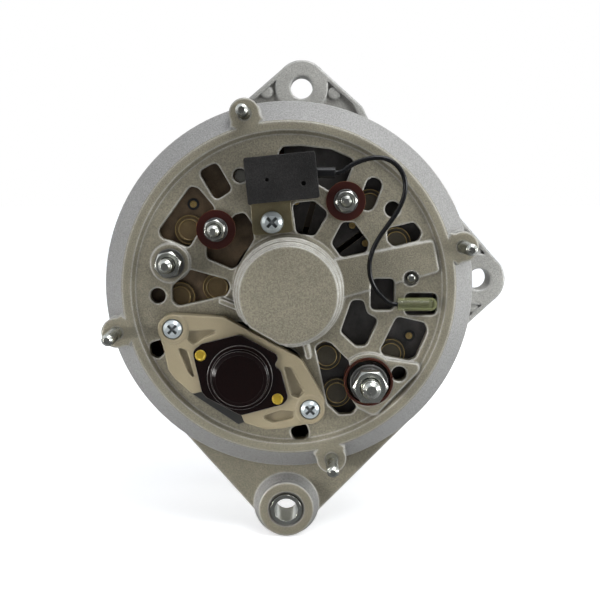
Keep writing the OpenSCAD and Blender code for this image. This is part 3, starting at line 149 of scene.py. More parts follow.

# %% [markdown]
# ## Effects that several finishes share
# Four shader groups are built once. The first gives the grain of a cast or moulded skin, the second
# finds edges, where handling and the tumbling drum polish the metal and where a paler colour paints
# highlights, the third finds corners and pits, where dirt stays and where a darker colour paints shade,
# and the fourth finds the outer sides of the rear casting. A group only hands out masks, heights and
# normals, and each finish decides what to do with them. All patterns read the object's own coordinates,
# so they stay put when a piece moves.

# %% Group maker
def new_group(name, inputs, outputs):
    tree = bpy.data.node_groups.new(name, "ShaderNodeTree")
    for label, kind, value in inputs:
        socket = tree.interface.new_socket(label, in_out="INPUT", socket_type=kind)
        socket.default_value = value
    for label, kind in outputs:
        tree.interface.new_socket(label, in_out="OUTPUT", socket_type=kind)
    return tree, tree.nodes.new("NodeGroupInput"), tree.nodes.new("NodeGroupOutput")


def node(tree, kind, inputs=None, **settings):
    """Adds a shader node. An input is either a value or an output socket to link from."""
    made = tree.nodes.new(kind)
    for key, value in settings.items():
        setattr(made, key, value)
    for key, value in (inputs or {}).items():
        if isinstance(value, bpy.types.NodeSocket):
            tree.links.new(value, made.inputs[key])
        else:
            made.inputs[key].default_value = value
    return made


def mix(tree, kind, share, first, second):
    """Blends two floats or two colours. The node has one socket of each name per kind, one of them in use."""
    made = tree.nodes.new("ShaderNodeMix")
    made.data_type = kind
    for name, value in (("Factor", share), ("A", first), ("B", second)):
        socket = next(s for s in made.inputs if s.name == name and s.enabled)
        if isinstance(value, bpy.types.NodeSocket):
            tree.links.new(value, socket)
        else:
            socket.default_value = value
    return next(s for s in made.outputs if s.enabled)


def ramp(tree, fac, low, high, start=0.0, end=1.0):
    """Spreads a value between low and high over start to end."""
    return node(tree, "ShaderNodeMapRange", {"Value": fac, "From Min": low, "From Max": high,
                                             "To Min": start, "To Max": end}).outputs["Result"]


# %% [markdown]
# ### Grain
# A cast skin has fine grain, small pits and broad patches of a slightly different tone. Noise gives the
# grain and the patches, and the distance to scattered points gives the pits. The speckle is the same
# fine noise with more contrast, so light and dark grains sit exactly on the bumps.

# %% Skin grain
PATCHES_PER_METRE = 55.0
grain, g_in, g_out = new_group(
    "skin_grain", [("Grain Size", "NodeSocketFloat", 0.4), ("Pits", "NodeSocketFloat", 0.3)],
    [("Height", "NodeSocketFloat"), ("Mottle", "NodeSocketFloat"), ("Speckle", "NodeSocketFloat")])
coords = node(grain, "ShaderNodeTexCoord").outputs["Object"]
per_metre = node(grain, "ShaderNodeMath", {0: 1000.0, 1: g_in.outputs["Grain Size"]},
                 operation="DIVIDE").outputs[0]
fine = node(grain, "ShaderNodeTexNoise", {"Vector": coords, "Scale": per_metre, "Detail": 4.0,
                                          "Roughness": 0.65}).outputs["Fac"]
spots = node(grain, "ShaderNodeTexVoronoi", {"Vector": coords, "Scale": per_metre}).outputs["Distance"]
pit = ramp(grain, spots, 0.08, 0.35)
pitted = node(grain, "ShaderNodeMath", {0: pit, 1: g_in.outputs["Pits"]}, operation="MULTIPLY").outputs[0]
height = node(grain, "ShaderNodeMath", {0: fine, 1: pitted}, operation="ADD").outputs[0]
patches = node(grain, "ShaderNodeTexNoise", {"Vector": coords, "Scale": PATCHES_PER_METRE, "Detail": 6.0,
                                             "Roughness": 0.6}).outputs["Fac"]
grain.links.new(height, g_out.inputs["Height"])
grain.links.new(ramp(grain, patches, 0.3, 0.7), g_out.inputs["Mottle"])
grain.links.new(ramp(grain, fine, 0.36, 0.64), g_out.inputs["Speckle"])
print(grain.name, "has", len(grain.nodes), "nodes")

# %% [markdown]
# ### Worn edges and painted edge highlights
# The Bevel node gives the normal that an edge would have if it were rounded. Where that normal leaves
# the real one, there is an edge. So one node both softens the light on sharp CAD edges and tells where
# a paler colour goes. That colour is partly worn metal and partly a painted highlight, such as the bright
# rims of the casting's windows and the rings of light on the regulator's can. Noise breaks the line up,
# since nothing wears evenly.

# %% Worn edges and painted edge highlights
RAGGED_PER_METRE, LIGHT_SAMPLES = 420.0, 6
wear_and_highlight, w_in, w_out = new_group(
    "worn_and_highlit_edges", [("Radius", "NodeSocketFloat", 0.0008), ("Breakup", "NodeSocketFloat", 0.5)],
    [("Mask", "NodeSocketFloat"), ("Normal", "NodeSocketVector")])
rounded = node(wear_and_highlight, "ShaderNodeBevel", {"Radius": w_in.outputs["Radius"]},
               samples=LIGHT_SAMPLES).outputs["Normal"]
flat = node(wear_and_highlight, "ShaderNodeNewGeometry").outputs["Normal"]
facing = node(wear_and_highlight, "ShaderNodeVectorMath", {0: rounded, 1: flat}, operation="DOT_PRODUCT").outputs["Value"]
edge = ramp(wear_and_highlight, facing, 0.992, 0.84)
ragged = node(wear_and_highlight, "ShaderNodeTexNoise", {"Vector": node(wear_and_highlight, "ShaderNodeTexCoord").outputs["Object"],
                                           "Scale": RAGGED_PER_METRE, "Detail": 3.0}).outputs["Fac"]
kept = ramp(wear_and_highlight, ragged, 0.35, 0.62)
soft = mix(wear_and_highlight, "FLOAT", w_in.outputs["Breakup"], 1.0, kept)
wear_and_highlight.links.new(node(wear_and_highlight, "ShaderNodeMath", {0: edge, 1: soft}, operation="MULTIPLY").outputs[0],
               w_out.inputs["Mask"])
wear_and_highlight.links.new(rounded, w_out.inputs["Normal"])
print(wear_and_highlight.name, "has", len(wear_and_highlight.nodes), "nodes")

# %% [markdown]
# ### Dirt and painted shade in the corners
# The Ambient Occlusion node tells how shut in a point is. The darker colour put there is partly dirt,
# which stays in such places, and partly painted shade, which makes deep windows, recesses and the foot
# of steps darker towards their walls. A cloud of noise breaks it up.

# %% Dirt and painted shade in the corners
CLOUDS_PER_METRE = 180.0
dirt_and_shade, d_in, d_out = new_group("corner_dirt_and_shade", [("Reach", "NodeSocketFloat", 0.006)],
                              [("Mask", "NodeSocketFloat")])
shade = node(dirt_and_shade, "ShaderNodeAmbientOcclusion", {"Distance": d_in.outputs["Reach"]},
             samples=LIGHT_SAMPLES).outputs["AO"]
cloud = node(dirt_and_shade, "ShaderNodeTexNoise", {"Vector": node(dirt_and_shade, "ShaderNodeTexCoord").outputs["Object"],
                                          "Scale": CLOUDS_PER_METRE, "Detail": 5.0}).outputs["Fac"]
shaded = ramp(dirt_and_shade, shade, 0.85, 0.25)
dirt_and_shade.links.new(node(dirt_and_shade, "ShaderNodeMath", {0: shaded, 1: ramp(dirt_and_shade, cloud, 0.3, 0.7, 0.55, 1.0)},
                    operation="MULTIPLY").outputs[0], d_out.inputs["Mask"])
print(dirt_and_shade.name, "has", len(dirt_and_shade.nodes), "nodes")

# %% [markdown]
# ### Outer sides
# The rear casting is greyer and cleaner on its outside than on its face. The mask takes what lies beyond
# a radius about the shaft and is turned away from the rear. The radius comes from the object's own
# coordinates, whose origin lies on the shaft.

# %% Outer sides
SIDES_BEYOND = 70.5 * MM
sides, r_in, r_out = new_group("outer_sides", [("Beyond", "NodeSocketFloat", SIDES_BEYOND)],
                               [("Mask", "NodeSocketFloat")])
slope = node(sides, "ShaderNodeSeparateXYZ", {0: node(sides, "ShaderNodeNewGeometry").outputs["Normal"]})
turned_away = ramp(sides, slope.outputs["Y"], -0.95, -0.72)  # 0 facing the rear, 1 from 44 degrees off it
here = node(sides, "ShaderNodeTexCoord").outputs["Object"]
off_shaft = node(sides, "ShaderNodeVectorMath", {0: here, 1: (1, 0, 1)}, operation="MULTIPLY")
from_shaft = node(sides, "ShaderNodeVectorMath", {0: off_shaft.outputs["Vector"]},
                  operation="LENGTH").outputs["Value"]
outside = node(sides, "ShaderNodeMath", {0: from_shaft, 1: r_in.outputs["Beyond"]}, operation="GREATER_THAN")
sides.links.new(node(sides, "ShaderNodeMath", {0: turned_away, 1: outside.outputs[0]},
                     operation="MULTIPLY").outputs[0], r_out.inputs["Mask"])
print("groups:", [g.name for g in bpy.data.node_groups])

# %% [markdown]
# ## The finishes
# Every solid names a finish. They could be thirty hand-made materials, but they differ only in numbers,
# so one maker builds them all from a short list of values: the colour, the paler colour of worn edges
# and painted edge highlights, the darker one of dirt and painted shade in corners, the gloss and the size
# of the grain. Cast parts get a coarse grain with pits, plated parts a fine one, and moulded parts hardly
# any.

# %% Finish maker
FINISHES, COAT_ROUGHNESS = {}, 0.12


def finish(name, colour, worn_and_highlit, soiled_and_shaded, rough=0.5, metal=0.0, grain_mm=0.4, bump=0.15, pits=0.3, edge_mm=0.5,
           wear_and_highlight_amount=0.8, dirt_and_shade_amount=0.6, mottle=0.12, speckle=0.06, breakup=0.4, coat=0.0, reach=0.006,
           gloss=0.5, side=None):
    material = bpy.data.materials.new(name)
    material.use_nodes = True
    tree = material.node_tree
    bsdf = tree.nodes["Principled BSDF"]
    skin = node(tree, "ShaderNodeGroup", node_tree=grain)
    skin.inputs["Grain Size"].default_value, skin.inputs["Pits"].default_value = grain_mm, pits
    edges = node(tree, "ShaderNodeGroup", node_tree=wear_and_highlight)
    edges.inputs["Radius"].default_value, edges.inputs["Breakup"].default_value = edge_mm * MM, breakup
    corners = node(tree, "ShaderNodeGroup", node_tree=dirt_and_shade)
    corners.inputs["Reach"].default_value = reach
    dark = (*(c * (1 - mottle) for c in colour), 1)
    light = (*(min(1, c * (1 + mottle)) for c in colour), 1)
    base = mix(tree, "RGBA", skin.outputs["Mottle"], dark, light)
    if side is not None:
        outer = node(tree, "ShaderNodeGroup", node_tree=sides)
        base = mix(tree, "RGBA", outer.outputs["Mask"], base, (*side, 1))
    fleck = node(tree, "ShaderNodeHueSaturation", {"Color": base, "Value": ramp(
        tree, skin.outputs["Speckle"], 0.0, 1.0, 1 - speckle, 1 + speckle)})
    base = fleck.outputs["Color"]
    # The darker corner colour is partly dirt and partly painted shade.
    dirty_and_shaded = node(tree, "ShaderNodeMath", {0: corners.outputs["Mask"], 1: dirt_and_shade_amount}, operation="MULTIPLY")
    soiled_and_shaded_base = mix(tree, "RGBA", dirty_and_shaded.outputs[0], base, (*soiled_and_shaded, 1))
    # The paler edge colour is partly wear and partly a painted highlight.
    bright = node(tree, "ShaderNodeMath", {0: edges.outputs["Mask"], 1: wear_and_highlight_amount}, operation="MULTIPLY")
    shown = mix(tree, "RGBA", bright.outputs[0], soiled_and_shaded_base, (*worn_and_highlit, 1))
    tree.links.new(shown, bsdf.inputs["Base Color"])
    rough_skin = mix(tree, "FLOAT", skin.outputs["Mottle"], rough * 0.85, min(1.0, rough * 1.15))
    tree.links.new(mix(tree, "FLOAT", bright.outputs[0], rough_skin, rough * 0.6), bsdf.inputs["Roughness"])
    relief = node(tree, "ShaderNodeBump", {
        "Height": skin.outputs["Height"], "Normal": edges.outputs["Normal"], "Strength": bump,
        "Distance": grain_mm * MM})
    tree.links.new(relief.outputs["Normal"], bsdf.inputs["Normal"])
    bsdf.inputs["Metallic"].default_value = metal
    bsdf.inputs["Coat Weight"].default_value = coat
    bsdf.inputs["Coat Roughness"].default_value = COAT_ROUGHNESS
    bsdf.inputs["Specular IOR Level"].default_value = gloss
    FINISHES[name] = material
    return material


# %% [markdown]
# ### Castings
# Both shields are cast light alloy, tumbled and a little greasy. They are not mirrors, so only a third
# of their look is metal, and the rest is a dull grey skin. The rear one has a warm stain on its face and
# a plainer grey on its outer sides.

# %% Castings
# The castings' pale edge colour is partly wear and partly a painted highlight on rims and window edges. On
# the rear one, the dark corner colour is partly painted shade, such as the dark line at the foot of its rim.
finish("cast_rear", (0.228, 0.207, 0.152), (0.66, 0.65, 0.61), (0.075, 0.060, 0.040), rough=0.48, metal=0.35,
       grain_mm=0.55, bump=0.45, pits=0.5, edge_mm=1.7, wear_and_highlight_amount=0.85, dirt_and_shade_amount=0.9, mottle=0.12,
       speckle=0.26, breakup=0.3, reach=0.0035, side=(0.29, 0.285, 0.275))
finish("cast_drive", (0.40, 0.392, 0.365), (0.62, 0.62, 0.61), (0.15, 0.14, 0.12), rough=0.48, metal=0.35,
       grain_mm=0.55, bump=0.4, pits=0.4, edge_mm=1.8, wear_and_highlight_amount=0.6, dirt_and_shade_amount=0.6, mottle=0.12,
       speckle=0.22, reach=0.005)
print("castings:", len(FINISHES))

# %% [markdown]
# ### Plated, forged and turned steel
# Studs, nuts and screws are zinc plated, and the bracket has the yellow kind. Shaft, poles and bearings
# are bare. Metal mostly shows what it mirrors, so its roughness and grain matter more than its colour.
# A screw's recess gets painted shade that is almost black, which is what draws the cross.

# %% Steel
finish("zinc_plate", (0.60, 0.61, 0.56), (0.84, 0.84, 0.78), (0.06, 0.055, 0.04), rough=0.27, metal=1.0,
       grain_mm=0.25, bump=0.09, pits=0.2, edge_mm=0.25, dirt_and_shade_amount=0.8, mottle=0.12, speckle=0.1,
       reach=0.0022)
finish("screw_zinc", (0.56, 0.61, 0.62), (0.84, 0.86, 0.86), (0.012, 0.011, 0.009), rough=0.26, metal=0.5,
       grain_mm=0.25, bump=0.06, pits=0.2, edge_mm=0.1, wear_and_highlight_amount=0.15, dirt_and_shade_amount=1.0, mottle=0.1,
       speckle=0.08, reach=0.0026)
# The long reach of this corner darkening is partly painted shade, most of all on the washers inside the
# battery terminal's cup, and partly oil.
finish("zinc_dull", (0.15, 0.15, 0.145), (0.34, 0.34, 0.33), (0.018, 0.013, 0.010), rough=0.48, metal=0.75,
       grain_mm=0.2, bump=0.08, edge_mm=0.2, dirt_and_shade_amount=0.95, reach=0.008)
finish("gilt_line", (0.58, 0.42, 0.17), (0.6, 0.45, 0.2), (0.16, 0.10, 0.03), rough=0.35, metal=0.6,
       grain_mm=0.3, bump=0.1, edge_mm=0.1, dirt_and_shade_amount=0.3, mottle=0.45, speckle=0.3)
finish("yellow_zinc", (0.165, 0.140, 0.078), (0.55, 0.50, 0.36), (0.05, 0.04, 0.022), rough=0.36, metal=0.45,
       grain_mm=0.3, bump=0.1, edge_mm=0.35, wear_and_highlight_amount=0.95, mottle=0.35, speckle=0.2,
       breakup=0.2, reach=0.003)
finish("laminated_iron", (0.15, 0.135, 0.115), (0.38, 0.36, 0.33), (0.05, 0.04, 0.03), rough=0.42, metal=0.7,
       grain_mm=0.5, bump=0.15, edge_mm=0.3)
finish("forged_iron", (0.18, 0.17, 0.155), (0.45, 0.44, 0.41), (0.06, 0.05, 0.04), rough=0.45, metal=0.75,
       grain_mm=0.6, bump=0.2)
finish("ground_steel", (0.50, 0.50, 0.49), (0.75, 0.75, 0.74), (0.15, 0.14, 0.12), rough=0.22, metal=1.0,
       grain_mm=0.2, bump=0.05, mottle=0.06)
finish("bearing_steel", (0.56, 0.56, 0.56), (0.8, 0.8, 0.8), (0.18, 0.17, 0.15), rough=0.12, metal=1.0,
       grain_mm=0.15, bump=0.02, mottle=0.04)
finish("spring_steel", (0.42, 0.42, 0.40), (0.65, 0.65, 0.63), (0.12, 0.11, 0.09), rough=0.3, metal=1.0,
       grain_mm=0.2, bump=0.08)
finish("pulley_iron", (0.10, 0.103, 0.107), (0.42, 0.42, 0.42), (0.035, 0.035, 0.035), rough=0.38, metal=0.6,
       grain_mm=0.35, bump=0.1, edge_mm=0.5, wear_and_highlight_amount=0.85)
finish("fan_steel", (0.035, 0.037, 0.040), (0.22, 0.22, 0.22), (0.02, 0.02, 0.02), rough=0.36, metal=0.1,
       grain_mm=0.6, bump=0.1, edge_mm=0.3, wear_and_highlight_amount=0.6, coat=0.1)
print("with steel:", len(FINISHES))

# %% [markdown]
# ### Brass, copper and the rectifier
# The rivets are brass, and slip rings and windings are copper. The heat sinks and diodes are seen only
# through windows. The sinks' corner darkening reaches further, so they fade towards the windows' walls
# as painted shade, and strong patches stand for the stains that such plates get.

# %% Brass, copper and the rectifier
finish("brass", (0.50, 0.35, 0.035), (0.80, 0.64, 0.20), (0.07, 0.045, 0.008), rough=0.3, metal=0.6,
       grain_mm=0.2, bump=0.06, edge_mm=0.25, speckle=0.12, reach=0.0015)
finish("ring_copper", (0.58, 0.27, 0.14), (0.8, 0.45, 0.3), (0.2, 0.09, 0.05), rough=0.18, metal=1.0,
       grain_mm=0.2, bump=0.03)
finish("diode_bronze", (0.150, 0.105, 0.050), (0.40, 0.30, 0.15), (0.030, 0.019, 0.008), rough=0.36,
       metal=0.4, grain_mm=0.3, bump=0.12, edge_mm=0.16, dirt_and_shade_amount=0.9, mottle=0.3, speckle=0.14,
       breakup=0.7, reach=0.0015)
finish("diode_dark", (0.090, 0.078, 0.056), (0.30, 0.22, 0.10), (0.020, 0.016, 0.011), rough=0.34, metal=0.4,
       grain_mm=0.3, bump=0.1, edge_mm=0.16, wear_and_highlight_amount=0.35, dirt_and_shade_amount=0.8, mottle=0.3, speckle=0.14,
       breakup=0.35, reach=0.0015)
finish("sink_brown", (0.33, 0.235, 0.145), (0.55, 0.45, 0.31), (0.030, 0.020, 0.012), rough=0.36, metal=0.45,
       grain_mm=0.35, bump=0.16, edge_mm=0.25, dirt_and_shade_amount=0.95, mottle=0.55, speckle=0.16, reach=0.014)
finish("sink_dark", (0.115, 0.109, 0.105), (0.42, 0.34, 0.21), (0.014, 0.011, 0.009), rough=0.36, metal=0.35,
       grain_mm=0.35, bump=0.16, edge_mm=0.3, wear_and_highlight_amount=0.95, dirt_and_shade_amount=0.95, mottle=0.5,
       speckle=0.2, reach=0.012)
finish("winding_copper", (0.26, 0.095, 0.03), (0.45, 0.2, 0.09), (0.06, 0.022, 0.008), rough=0.28, metal=0.5,
       grain_mm=0.3, bump=0.1, mottle=0.2, coat=0.3)
print("with the rectifier:", len(FINISHES))

# %% [markdown]
# ### Moulded, fibre and rubber parts
# These are not metal at all. What tells them apart is gloss: the regulator's can is smooth and almost a
# mirror, the condenser rough, and the lead in between. A deep black needs a very dark colour, since the
# gloss adds grey. The fibre's cut edge is paler than its lacquered face, which the worn edge gives.

# %% Moulded, fibre and rubber parts
finish("cream_moulding", (0.270, 0.226, 0.142), (0.47, 0.41, 0.28), (0.15, 0.115, 0.06), rough=0.40,
       grain_mm=0.5, bump=0.08, pits=0.2, edge_mm=1.4, wear_and_highlight_amount=0.45, dirt_and_shade_amount=0.10, mottle=0.07,
       speckle=0.04, breakup=0.1, reach=0.003)
# The can's pale edge colour is a painted highlight: the rings of light on its rounded edges.
finish("black_gloss", (0.0040, 0.0010, 0.0008), (0.42, 0.40, 0.38), (0.003, 0.0015, 0.0015), rough=0.11,
       grain_mm=0.5, bump=0.02, edge_mm=0.32, wear_and_highlight_amount=0.75, mottle=0.2, breakup=0.3, gloss=0.4)
finish("black_matte", (0.0135, 0.0125, 0.012), (0.075, 0.072, 0.068), (0.03, 0.028, 0.025), rough=0.5,
       grain_mm=0.55, bump=0.35, pits=0.6, edge_mm=0.5, wear_and_highlight_amount=0.5, mottle=0.35, speckle=0.4,
       gloss=0.3)
finish("black_moulding", (0.028, 0.028, 0.027), (0.10, 0.10, 0.10), (0.012, 0.012, 0.010), rough=0.45,
       grain_mm=0.5, bump=0.15, mottle=0.2, gloss=0.4)
finish("black_rubber", (0.0060, 0.0060, 0.0065), (0.05, 0.05, 0.05), (0.004, 0.004, 0.004), rough=0.26,
       grain_mm=0.3, bump=0.06, mottle=0.2, gloss=0.35)
finish("board_brown", (0.075, 0.05, 0.024), (0.24, 0.175, 0.09), (0.022, 0.014, 0.008), rough=0.42,
       grain_mm=0.5, bump=0.1, mottle=0.2)
finish("fibre_maroon", (0.034, 0.0062, 0.0042), (0.34, 0.135, 0.045), (0.012, 0.003, 0.002), rough=0.34,
       grain_mm=0.3, bump=0.06, edge_mm=0.22, wear_and_highlight_amount=0.95, breakup=0.3, mottle=0.2,
       speckle=0.08, gloss=0.35)
finish("green_moulding", (0.04, 0.085, 0.05), (0.12, 0.18, 0.13), (0.016, 0.024, 0.016), rough=0.45,
       grain_mm=0.4, bump=0.08)
finish("carbon", (0.03, 0.03, 0.032), (0.10, 0.10, 0.10), (0.012, 0.012, 0.012), rough=0.5, metal=0.2,
       grain_mm=0.25, bump=0.15)
print("with mouldings:", len(FINISHES))

# %% [markdown]
# ### The clear sleeve
# A soft clear sleeve, gone yellow, covers the push-on terminal. Glass that bends light would be exact,
# but it is slow and noisy on such a small piece. Alpha lets the terminal show through instead. Layer
# Weight makes the sleeve thicker to the eye at its edges, as a real wall of plastic is.

# %% Clear sleeve
# The sleeve's pale edge colour is a painted highlight along its rims.
sleeve_finish = finish("clear_sleeve", (0.40, 0.42, 0.20), (0.70, 0.72, 0.46), (0.22, 0.23, 0.10), rough=0.08,
                       grain_mm=1.2, bump=0.10, edge_mm=0.5, wear_and_highlight_amount=0.6, dirt_and_shade_amount=0.1, mottle=0.2,
                       speckle=0.02)
sleeve_tree = sleeve_finish.node_tree
CLEAREST, THICKEST = 0.10, 0.68
rim = node(sleeve_tree, "ShaderNodeLayerWeight", {"Blend": 0.35}).outputs["Facing"]
sleeve_tree.links.new(ramp(sleeve_tree, rim, 0.1, 0.9, CLEAREST, THICKEST),
                      sleeve_tree.nodes["Principled BSDF"].inputs["Alpha"])
print(len(FINISHES), "finishes")

# %% [markdown]
# ### Putting the finishes on
# Each solid's entry in the record names its finish, so a loop does it. Three pieces look different from
# the rest of their kind: the pan heads are paler than the nuts, and the push-on terminal and its tab are
# dull.

# %% Put each finish on its solids
OTHER_FINISH = {"pan_head_screws": "screw_zinc", "lead_receptacle": "zinc_dull", "lead_tab": "zinc_dull"}
for name, solid in NODES.items():
    solid.data.materials.clear()
    solid.data.materials.append(FINISHES[OTHER_FINISH.get(name, SLOT_OF[name])])
print(len(NODES), "solids painted")

# %% [markdown]
# ### The lead's finish
# The lead gets the black rubber finish.

lead.data.materials.append(FINISHES["black_rubber"])

# %% [markdown]
# ## Screw threads
# A thread is one ridge that climbs round a core. It could be drawn as lines on a smooth rod, but then
# its outline would be straight, and these ends stand free where their outline shows. So it follows a
# path: a spiral. Geometry Nodes draw the spiral, sweep a diamond along it and add the core and a blunt
# cone as the tip. The same tree serves every stud and bolt with other numbers.

# %% Tree helpers
def geometry_tree(name, inputs):
    tree = bpy.data.node_groups.new(name, "GeometryNodeTree")
    tree.interface.new_socket("Geometry", in_out="OUTPUT", socket_type="NodeSocketGeometry")
    for label, kind, value in inputs:
        socket = tree.interface.new_socket(label, in_out="INPUT", socket_type=kind)
        if value is not None:
            socket.default_value = value
    return tree, tree.nodes.new("NodeGroupInput"), tree.nodes.new("NodeGroupOutput")


def maths(tree, operation, a, b):
    return node(tree, "ShaderNodeMath", {0: a, 1: b}, operation=operation).outputs[0]


def raised(tree, shape, height):
    """Moves a shape upwards in a tree."""
    lift = node(tree, "ShaderNodeCombineXYZ", {"Z": height}).outputs[0]
    return node(tree, "GeometryNodeTransform", {"Geometry": shape, "Translation": lift}).outputs["Geometry"]


def realised(tree, given, out, shape):
    """Ends a tree: copies become real, and the given material goes on."""
    real = node(tree, "GeometryNodeRealizeInstances", {"Geometry": shape}).outputs[0]
    painted = node(tree, "GeometryNodeSetMaterial", {"Geometry": real, "Material": given.outputs["Material"]})
    tree.links.new(painted.outputs[0], out.inputs[0])
    return tree


# %% Thread tree
RIDGE, CORE_BELOW, END_GAP = 0.55, 0.58, 0.6  # shares of the pitch
CONE, POINT = 0.3, 0.52  # shares of the radius
ROUND_EDGES, STEPS_PER_TURN = 40, 24


def make_thread_tree():
    tree, given, out = geometry_tree("screw_thread", [
        ("Radius", "NodeSocketFloat", 0.004), ("Pitch", "NodeSocketFloat", 0.00125),
        ("Length", "NodeSocketFloat", 0.02), ("Material", "NodeSocketMaterial", None)])
    radius, pitch, length = (given.outputs[k] for k in ("Radius", "Pitch", "Length"))
    ridge = maths(tree, "MULTIPLY", pitch, RIDGE)
    middle = maths(tree, "SUBTRACT", radius, ridge)
    core_radius = maths(tree, "SUBTRACT", radius, maths(tree, "MULTIPLY", pitch, CORE_BELOW))
    cone = maths(tree, "MULTIPLY", radius, CONE)
    straight = maths(tree, "SUBTRACT", length, cone)
    run = maths(tree, "SUBTRACT", straight, maths(tree, "MULTIPLY", pitch, 2 * END_GAP))
    spiral = node(tree, "GeometryNodeCurveSpiral", {
        "Resolution": STEPS_PER_TURN, "Rotations": maths(tree, "DIVIDE", run, pitch), "Start Radius": middle,
        "End Radius": middle, "Height": run, "Reverse": False}).outputs["Curve"]
    upright = node(tree, "GeometryNodeSetCurveNormal", {"Curve": spiral}, mode="Z_UP").outputs["Curve"]
    lifted = raised(tree, upright, maths(tree, "MULTIPLY", pitch, END_GAP))
    diamond = node(tree, "GeometryNodeCurvePrimitiveCircle", {"Resolution": 4, "Radius": ridge})
    sweep = node(tree, "GeometryNodeCurveToMesh", {
        "Curve": lifted, "Profile Curve": diamond.outputs["Curve"], "Fill Caps": True}).outputs["Mesh"]
    core = node(tree, "GeometryNodeMeshCylinder", {
        "Vertices": ROUND_EDGES, "Radius": core_radius, "Depth": straight}).outputs["Mesh"]
    core_up = raised(tree, core, maths(tree, "MULTIPLY", straight, 0.5))
    tip = node(tree, "GeometryNodeMeshCone", {
        "Vertices": ROUND_EDGES, "Radius Top": maths(tree, "MULTIPLY", radius, POINT),
        "Radius Bottom": core_radius, "Depth": cone}).outputs["Mesh"]
    tip_up = raised(tree, tip, straight)
    together = node(tree, "GeometryNodeJoinGeometry")
    for piece in (sweep, core_up, tip_up):
        tree.links.new(piece, together.inputs[0])
    return realised(tree, given, out, together.outputs[0])


THREAD = make_thread_tree()
print(THREAD.name, "has", len(THREAD.nodes), "nodes")

# %% [markdown]
# ### From a tree to a plain mesh
# A modifier runs the tree. Its inputs are set by their sockets' identifiers, which are looked up by name,
# because a modifier doesn't know the names. The result is kept as a plain mesh and the modifier goes, so
# nothing has to be worked out again when the part is used.

# %% Run a tree
def from_tree(name, tree, values):
    """Runs a tree with these inputs and keeps its result as a plain mesh object."""
    holder = bpy.data.objects.new(name, bpy.data.meshes.new(name))
    bpy.context.scene.collection.objects.link(holder)
    modifier = holder.modifiers.new("nodes", "NODES")
    modifier.node_group = tree
    sockets = {item.name: item.identifier for item in tree.interface.items_tree
               if item.item_type == "SOCKET" and item.in_out == "INPUT"}
    for label, value in values.items():
        modifier[sockets[label]] = value
    graph = bpy.context.evaluated_depsgraph_get()
    mesh = bpy.data.meshes.new_from_object(holder.evaluated_get(graph))
    holder.modifiers.clear()
    old = holder.data
    holder.data = mesh
    bpy.data.meshes.remove(old)
    mesh.name = name
    return holder


def to_rear(x, z, depth):
    """Turns a shape drawn upwards from zero so that it points at the rear, with its foot at this depth."""
    return Matrix.Translation(place(x, z, depth)) @ Matrix.Rotation(math.radians(90), 4, "X")


def thread(name, x, z, tip, root, radius, pitch):
    """A threaded end between two depths, tip first, with its radius and pitch in millimetres."""
    piece = from_tree(name, THREAD, {"Radius": radius * MM, "Pitch": pitch * MM, "Length": (root - tip) * MM,
                                     "Material": FINISHES["zinc_plate"]})
    piece.data.transform(to_rear(x, z, root))
    return piece


# %% [markdown]
# ## Turned pieces
# Shanks, heads and flat washers are turned on a lathe: an outline is spun about an axis. Blender's own
# cylinders would do for the plain ones, but an outline also gives eased edges, dishes and collars. All
# pieces are computed as lists of points and faces, and one helper makes clean meshes of them.

# %% Lathe
def mesh_object(name, points, faces, finish_name, matrix, smooth_angle=35):
    """A mesh from points and faces, moved to its place, shaded smooth but for edges above this angle."""
    data = bpy.data.meshes.new(name)
    data.from_pydata([tuple(p) for p in points], [], faces)
    data.transform(matrix)
    shape = bmesh.new()
    shape.from_mesh(data)
    bmesh.ops.remove_doubles(shape, verts=shape.verts, dist=1e-7)
    bmesh.ops.recalc_face_normals(shape, faces=shape.faces)
    shape.to_mesh(data)
    shape.free()
    data.materials.append(FINISHES[finish_name])
    thing = bpy.data.objects.new(name, data)
    bpy.context.scene.collection.objects.link(thing)
    data.shade_smooth()
    data.set_sharp_from_angle(angle=math.radians(smooth_angle))
    return thing


def ring_faces(rings, count, closed=True):
    """Faces between rings of points. A closed shape also joins the last ring to the first."""
    faces = []
    for i in range(rings - 1 + (1 if closed else 0)):
        a, b = i * count, ((i + 1) % rings) * count
        faces += [(a + k, a + (k + 1) % count, b + (k + 1) % count, b + k) for k in range(count)]
    return faces


def lathe(name, outline, finish_name, matrix, count=64, closed=True):
    """Spins an outline of (radius, height) in millimetres. A closed outline makes a ring."""
    points = [(r * MM * math.cos(math.tau * k / count), r * MM * math.sin(math.tau * k / count), h * MM)
              for r, h in outline for k in range(count)]
    return mesh_object(name, points, ring_faces(len(outline), count, closed), finish_name, matrix)


# %% [markdown]
# ### A nut with chamfered corners
# On a real nut a cone cuts the six corners, which leaves a curved line on each flat. A cylinder with six
# sides and a bevel doesn't show it. So the nut is a stack of rings: the ones on its outside follow the
# hexagon, and drop by as much as the cone takes off where the hexagon is widest.

# %% Nut
NUT_POINTS, FLAT_TOP, CONE_SLOPE = 72, 0.96, math.tan(math.radians(32))
EASED_BELOW, EASED_ABOVE = 0.4, 0.45


